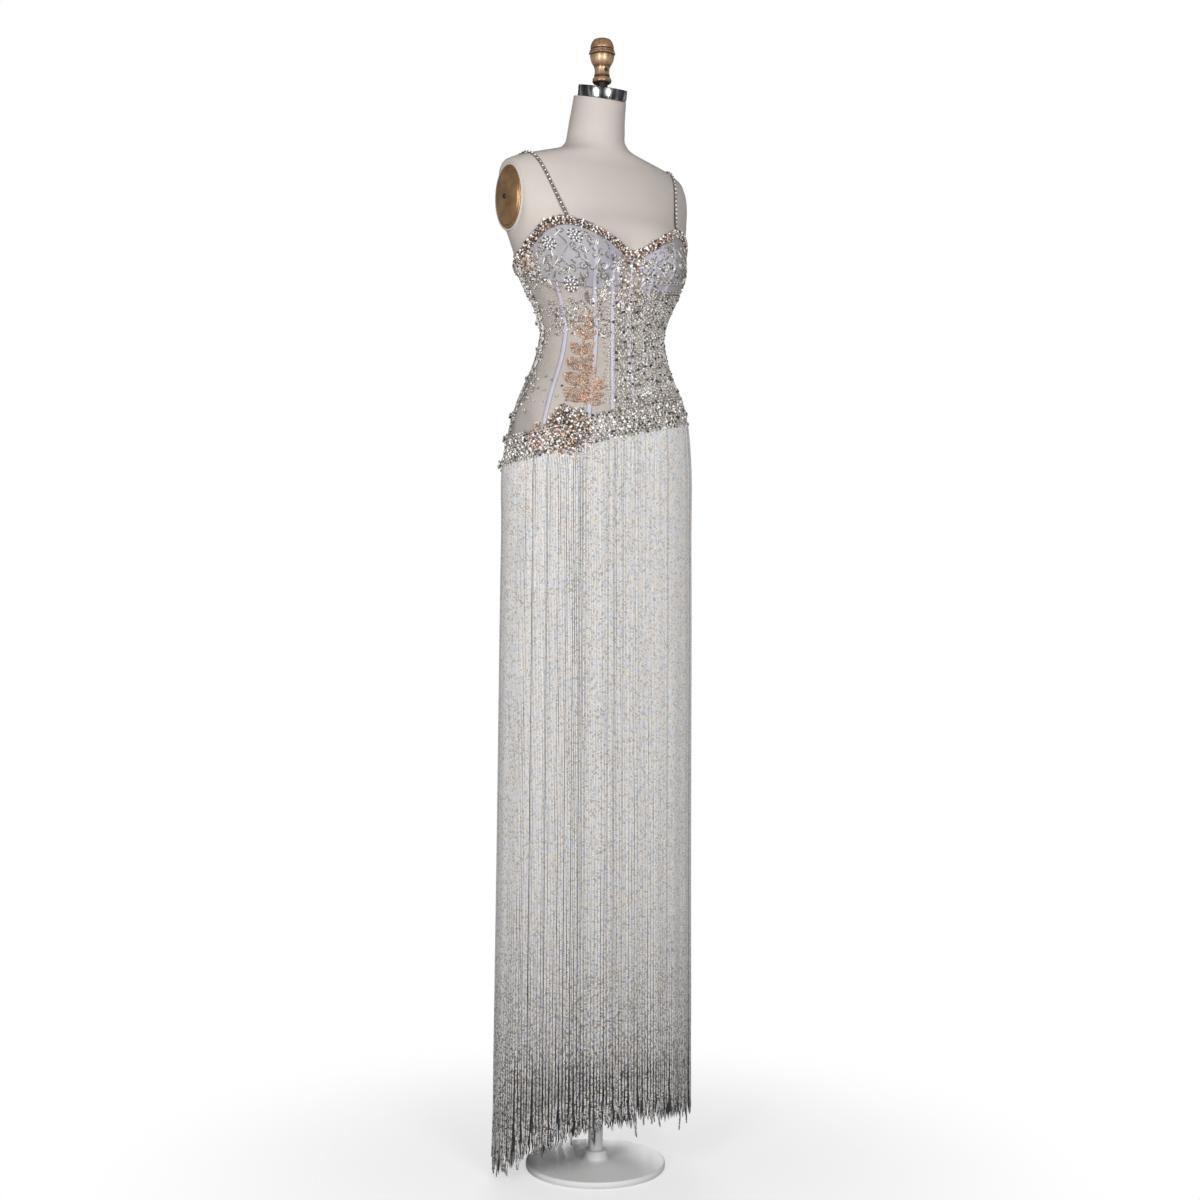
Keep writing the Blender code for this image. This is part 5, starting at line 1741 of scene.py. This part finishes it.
def fringe():
    """The fringe in four quarters, each an outer and an inner layer of beaded strands."""
    outer = strand_angles(STRAND_PITCH, 0.17, OPEN_PARTS)
    inner = strand_angles(STRAND_PITCH * 1.1, 0.12, ())
    # The inner layer's shade is painted darker than the outer's, as the skirt's inside in shadow, and nearly
    # black below the lining's hem; both are painted darker towards the floor.
    layers = [(outer, *strands(outer, OUTER_STRAND_OFF, STRAND_RADIUS, BEADED_END, (1.0, 1.0, 0.12))),
              (inner, *strands(inner, INNER_STRAND_OFF, STRAND_RADIUS * 1.15, 0, (0.72, 0.06, 0.6)))]
    pieces = []
    for word, start, end in (("front_right", -90, 0), ("front_left", 0, 90),
                             ("back_left", 90, 180), ("back_right", -180, -90)):
        points, faces, strand, shade = [], [], [], []
        for angle, layer_points, strand_faces, layer_shade in layers:
            chosen = np.flatnonzero((angle >= start) & (angle < end))
            size = layer_points.shape[1]
            first = sum(len(part) for part in points)
            points.append(layer_points[chosen].reshape(-1, 3))
            offsets = size * np.arange(len(chosen))[:, None, None] + first
            faces.append((strand_faces[None] + offsets).reshape(-1, 3))
            strand.append(np.repeat(chosen + 0.5, size))
            shade.append(layer_shade[chosen].ravel())
        name = "bead_fringe_" + word
        mesh = joined_mesh(name, np.concatenate(points), np.concatenate(faces),
                           strand=np.concatenate(strand), shade=np.concatenate(shade))
        pieces.append(show(name, mesh, "fringe_beads", ("fringe_" + word,), crease=80))
    return pieces


# ---------------------------------------------------------------- the studio

CAMERA_AZIMUTH = math.radians(-30)
CAMERA_DISTANCE = 3.0
CAMERA_HEIGHT = 0.976
CAMERA_ASIDE = 0.0022
CAMERA_LENS = 52.2
CAMERA_ROLL = math.radians(0.35)


def camera():
    back = Vector((math.sin(CAMERA_AZIMUTH), -math.cos(CAMERA_AZIMUTH), 0))
    right = Vector((math.cos(CAMERA_AZIMUTH), math.sin(CAMERA_AZIMUTH), 0))
    data = bpy.data.cameras.new("camera")
    data.lens = CAMERA_LENS
    data.sensor_width = 36.0
    eye = bpy.data.objects.new("camera", data)
    aim = (-back).to_track_quat("-Z", "Y").to_matrix().to_4x4() @ Matrix.Rotation(CAMERA_ROLL, 4, "Z")
    place = back * CAMERA_DISTANCE + right * CAMERA_ASIDE + Vector((0, 0, CAMERA_HEIGHT))
    eye.matrix_world = Matrix.Translation(place) @ aim
    bpy.context.scene.collection.objects.link(eye)
    bpy.context.scene.camera = eye


def softbox(name, azimuth, elevation, distance, size, power, aim=(0, 0, 1.1)):
    azimuth, elevation = math.radians(azimuth), math.radians(elevation)
    way = Vector((math.sin(azimuth) * math.cos(elevation), -math.cos(azimuth) * math.cos(elevation),
                  math.sin(elevation)))
    data = bpy.data.lights.new(name, "AREA")
    data.shape = "RECTANGLE"
    data.size, data.size_y = size
    data.energy = power
    light = bpy.data.objects.new(name, data)
    light.visible_camera = False
    light.matrix_world = (Matrix.Translation(Vector(aim) + way * distance)
                          @ way.to_track_quat("Z", "Y").to_matrix().to_4x4())
    bpy.context.scene.collection.objects.link(light)


def surroundings():
    """A white room to look at, and a dimmer one, darker below, that lights the piece."""
    world = bpy.data.worlds.new("room")
    bpy.context.scene.world = world
    world.use_nodes = True
    nodes, links = world.node_tree.nodes, world.node_tree.links
    seen = nodes["Background"]
    seen.inputs["Color"].default_value = (1, 1, 1, 1)
    seen.inputs["Strength"].default_value = 1.0
    lit = nodes.new("ShaderNodeBackground")
    ramp = nodes.new("ShaderNodeValToRGB")
    Finish.set_stops(ramp.color_ramp, ((0.25, (0.10, 0.10, 0.10)), (0.5, (0.30, 0.30, 0.305)),
                                       (0.75, (0.14, 0.14, 0.145))))
    direction = nodes.new("ShaderNodeTexCoord")
    split = nodes.new("ShaderNodeSeparateXYZ")
    half = nodes.new("ShaderNodeMapRange")
    half.inputs["From Min"].default_value = -1.0
    links.new(direction.outputs["Generated"], split.inputs[0])
    links.new(split.outputs["Z"], half.inputs["Value"])
    links.new(half.outputs[0], ramp.inputs[0])
    links.new(ramp.outputs[0], lit.inputs["Color"])
    ray = nodes.new("ShaderNodeLightPath")
    mix = nodes.new("ShaderNodeMixShader")
    links.new(ray.outputs["Is Camera Ray"], mix.inputs[0])
    links.new(lit.outputs[0], mix.inputs[1])
    links.new(seen.outputs[0], mix.inputs[2])
    links.new(mix.outputs[0], nodes["World Output"].inputs["Surface"])


def floor():
    """A pale floor that melts into the white room."""
    bm = bmesh.new()
    bmesh.ops.create_circle(bm, cap_ends=True, segments=96, radius=1.6)
    bmesh.ops.translate(bm, verts=bm.verts[:], vec=(0, 0, -0.0004))
    mesh = bpy.data.meshes.new("floor")
    bm.to_mesh(mesh)
    bm.free()
    ground = bpy.data.objects.new("floor", mesh)
    bpy.context.scene.collection.objects.link(ground)
    finish = Finish("floor", Base_Color=(0.93, 0.93, 0.93, 1), Roughness=0.8)
    x, y, _ = finish.axes(finish.place())
    finish.feed("Alpha", 0.40 * (1 - ((x * x + y * y) ** 0.5).step(0.20, 0.9)))
    mesh.materials.append(finish.material)


# ---------------------------------------------------------------- all together

bpy.context.scene.view_settings.view_transform = "Standard"
camera()
surroundings()
softbox("left_of_camera", -56, 7, 2.6, (0.8, 1.3), 34, aim=(0, 0, 1.25))
softbox("right_of_camera", -7, 7, 2.6, (0.8, 1.3), 33, aim=(0, 0, 1.25))
softbox("behind", 155, 12, 3.0, (1.6, 2.2), 45)
floor()

form_body()
arm_plates()
neck_cap()
finial()
stand()

net_panels, bone_tapes, placket = corset()
skirt_linings = underskirts()
strands_of_fringe = fringe()
belt()
neckline_trim()
strap_pieces = straps()
belt_ornament()
bead_work = garlands() + bodice_embroidery()

declare(net_panels[0], bead_work + bone_tapes + strap_pieces)
for panel in net_panels[1:]:
    declare(panel)
declare(placket)
declare(skirt_linings[0], strands_of_fringe)
declare(skirt_linings[1])
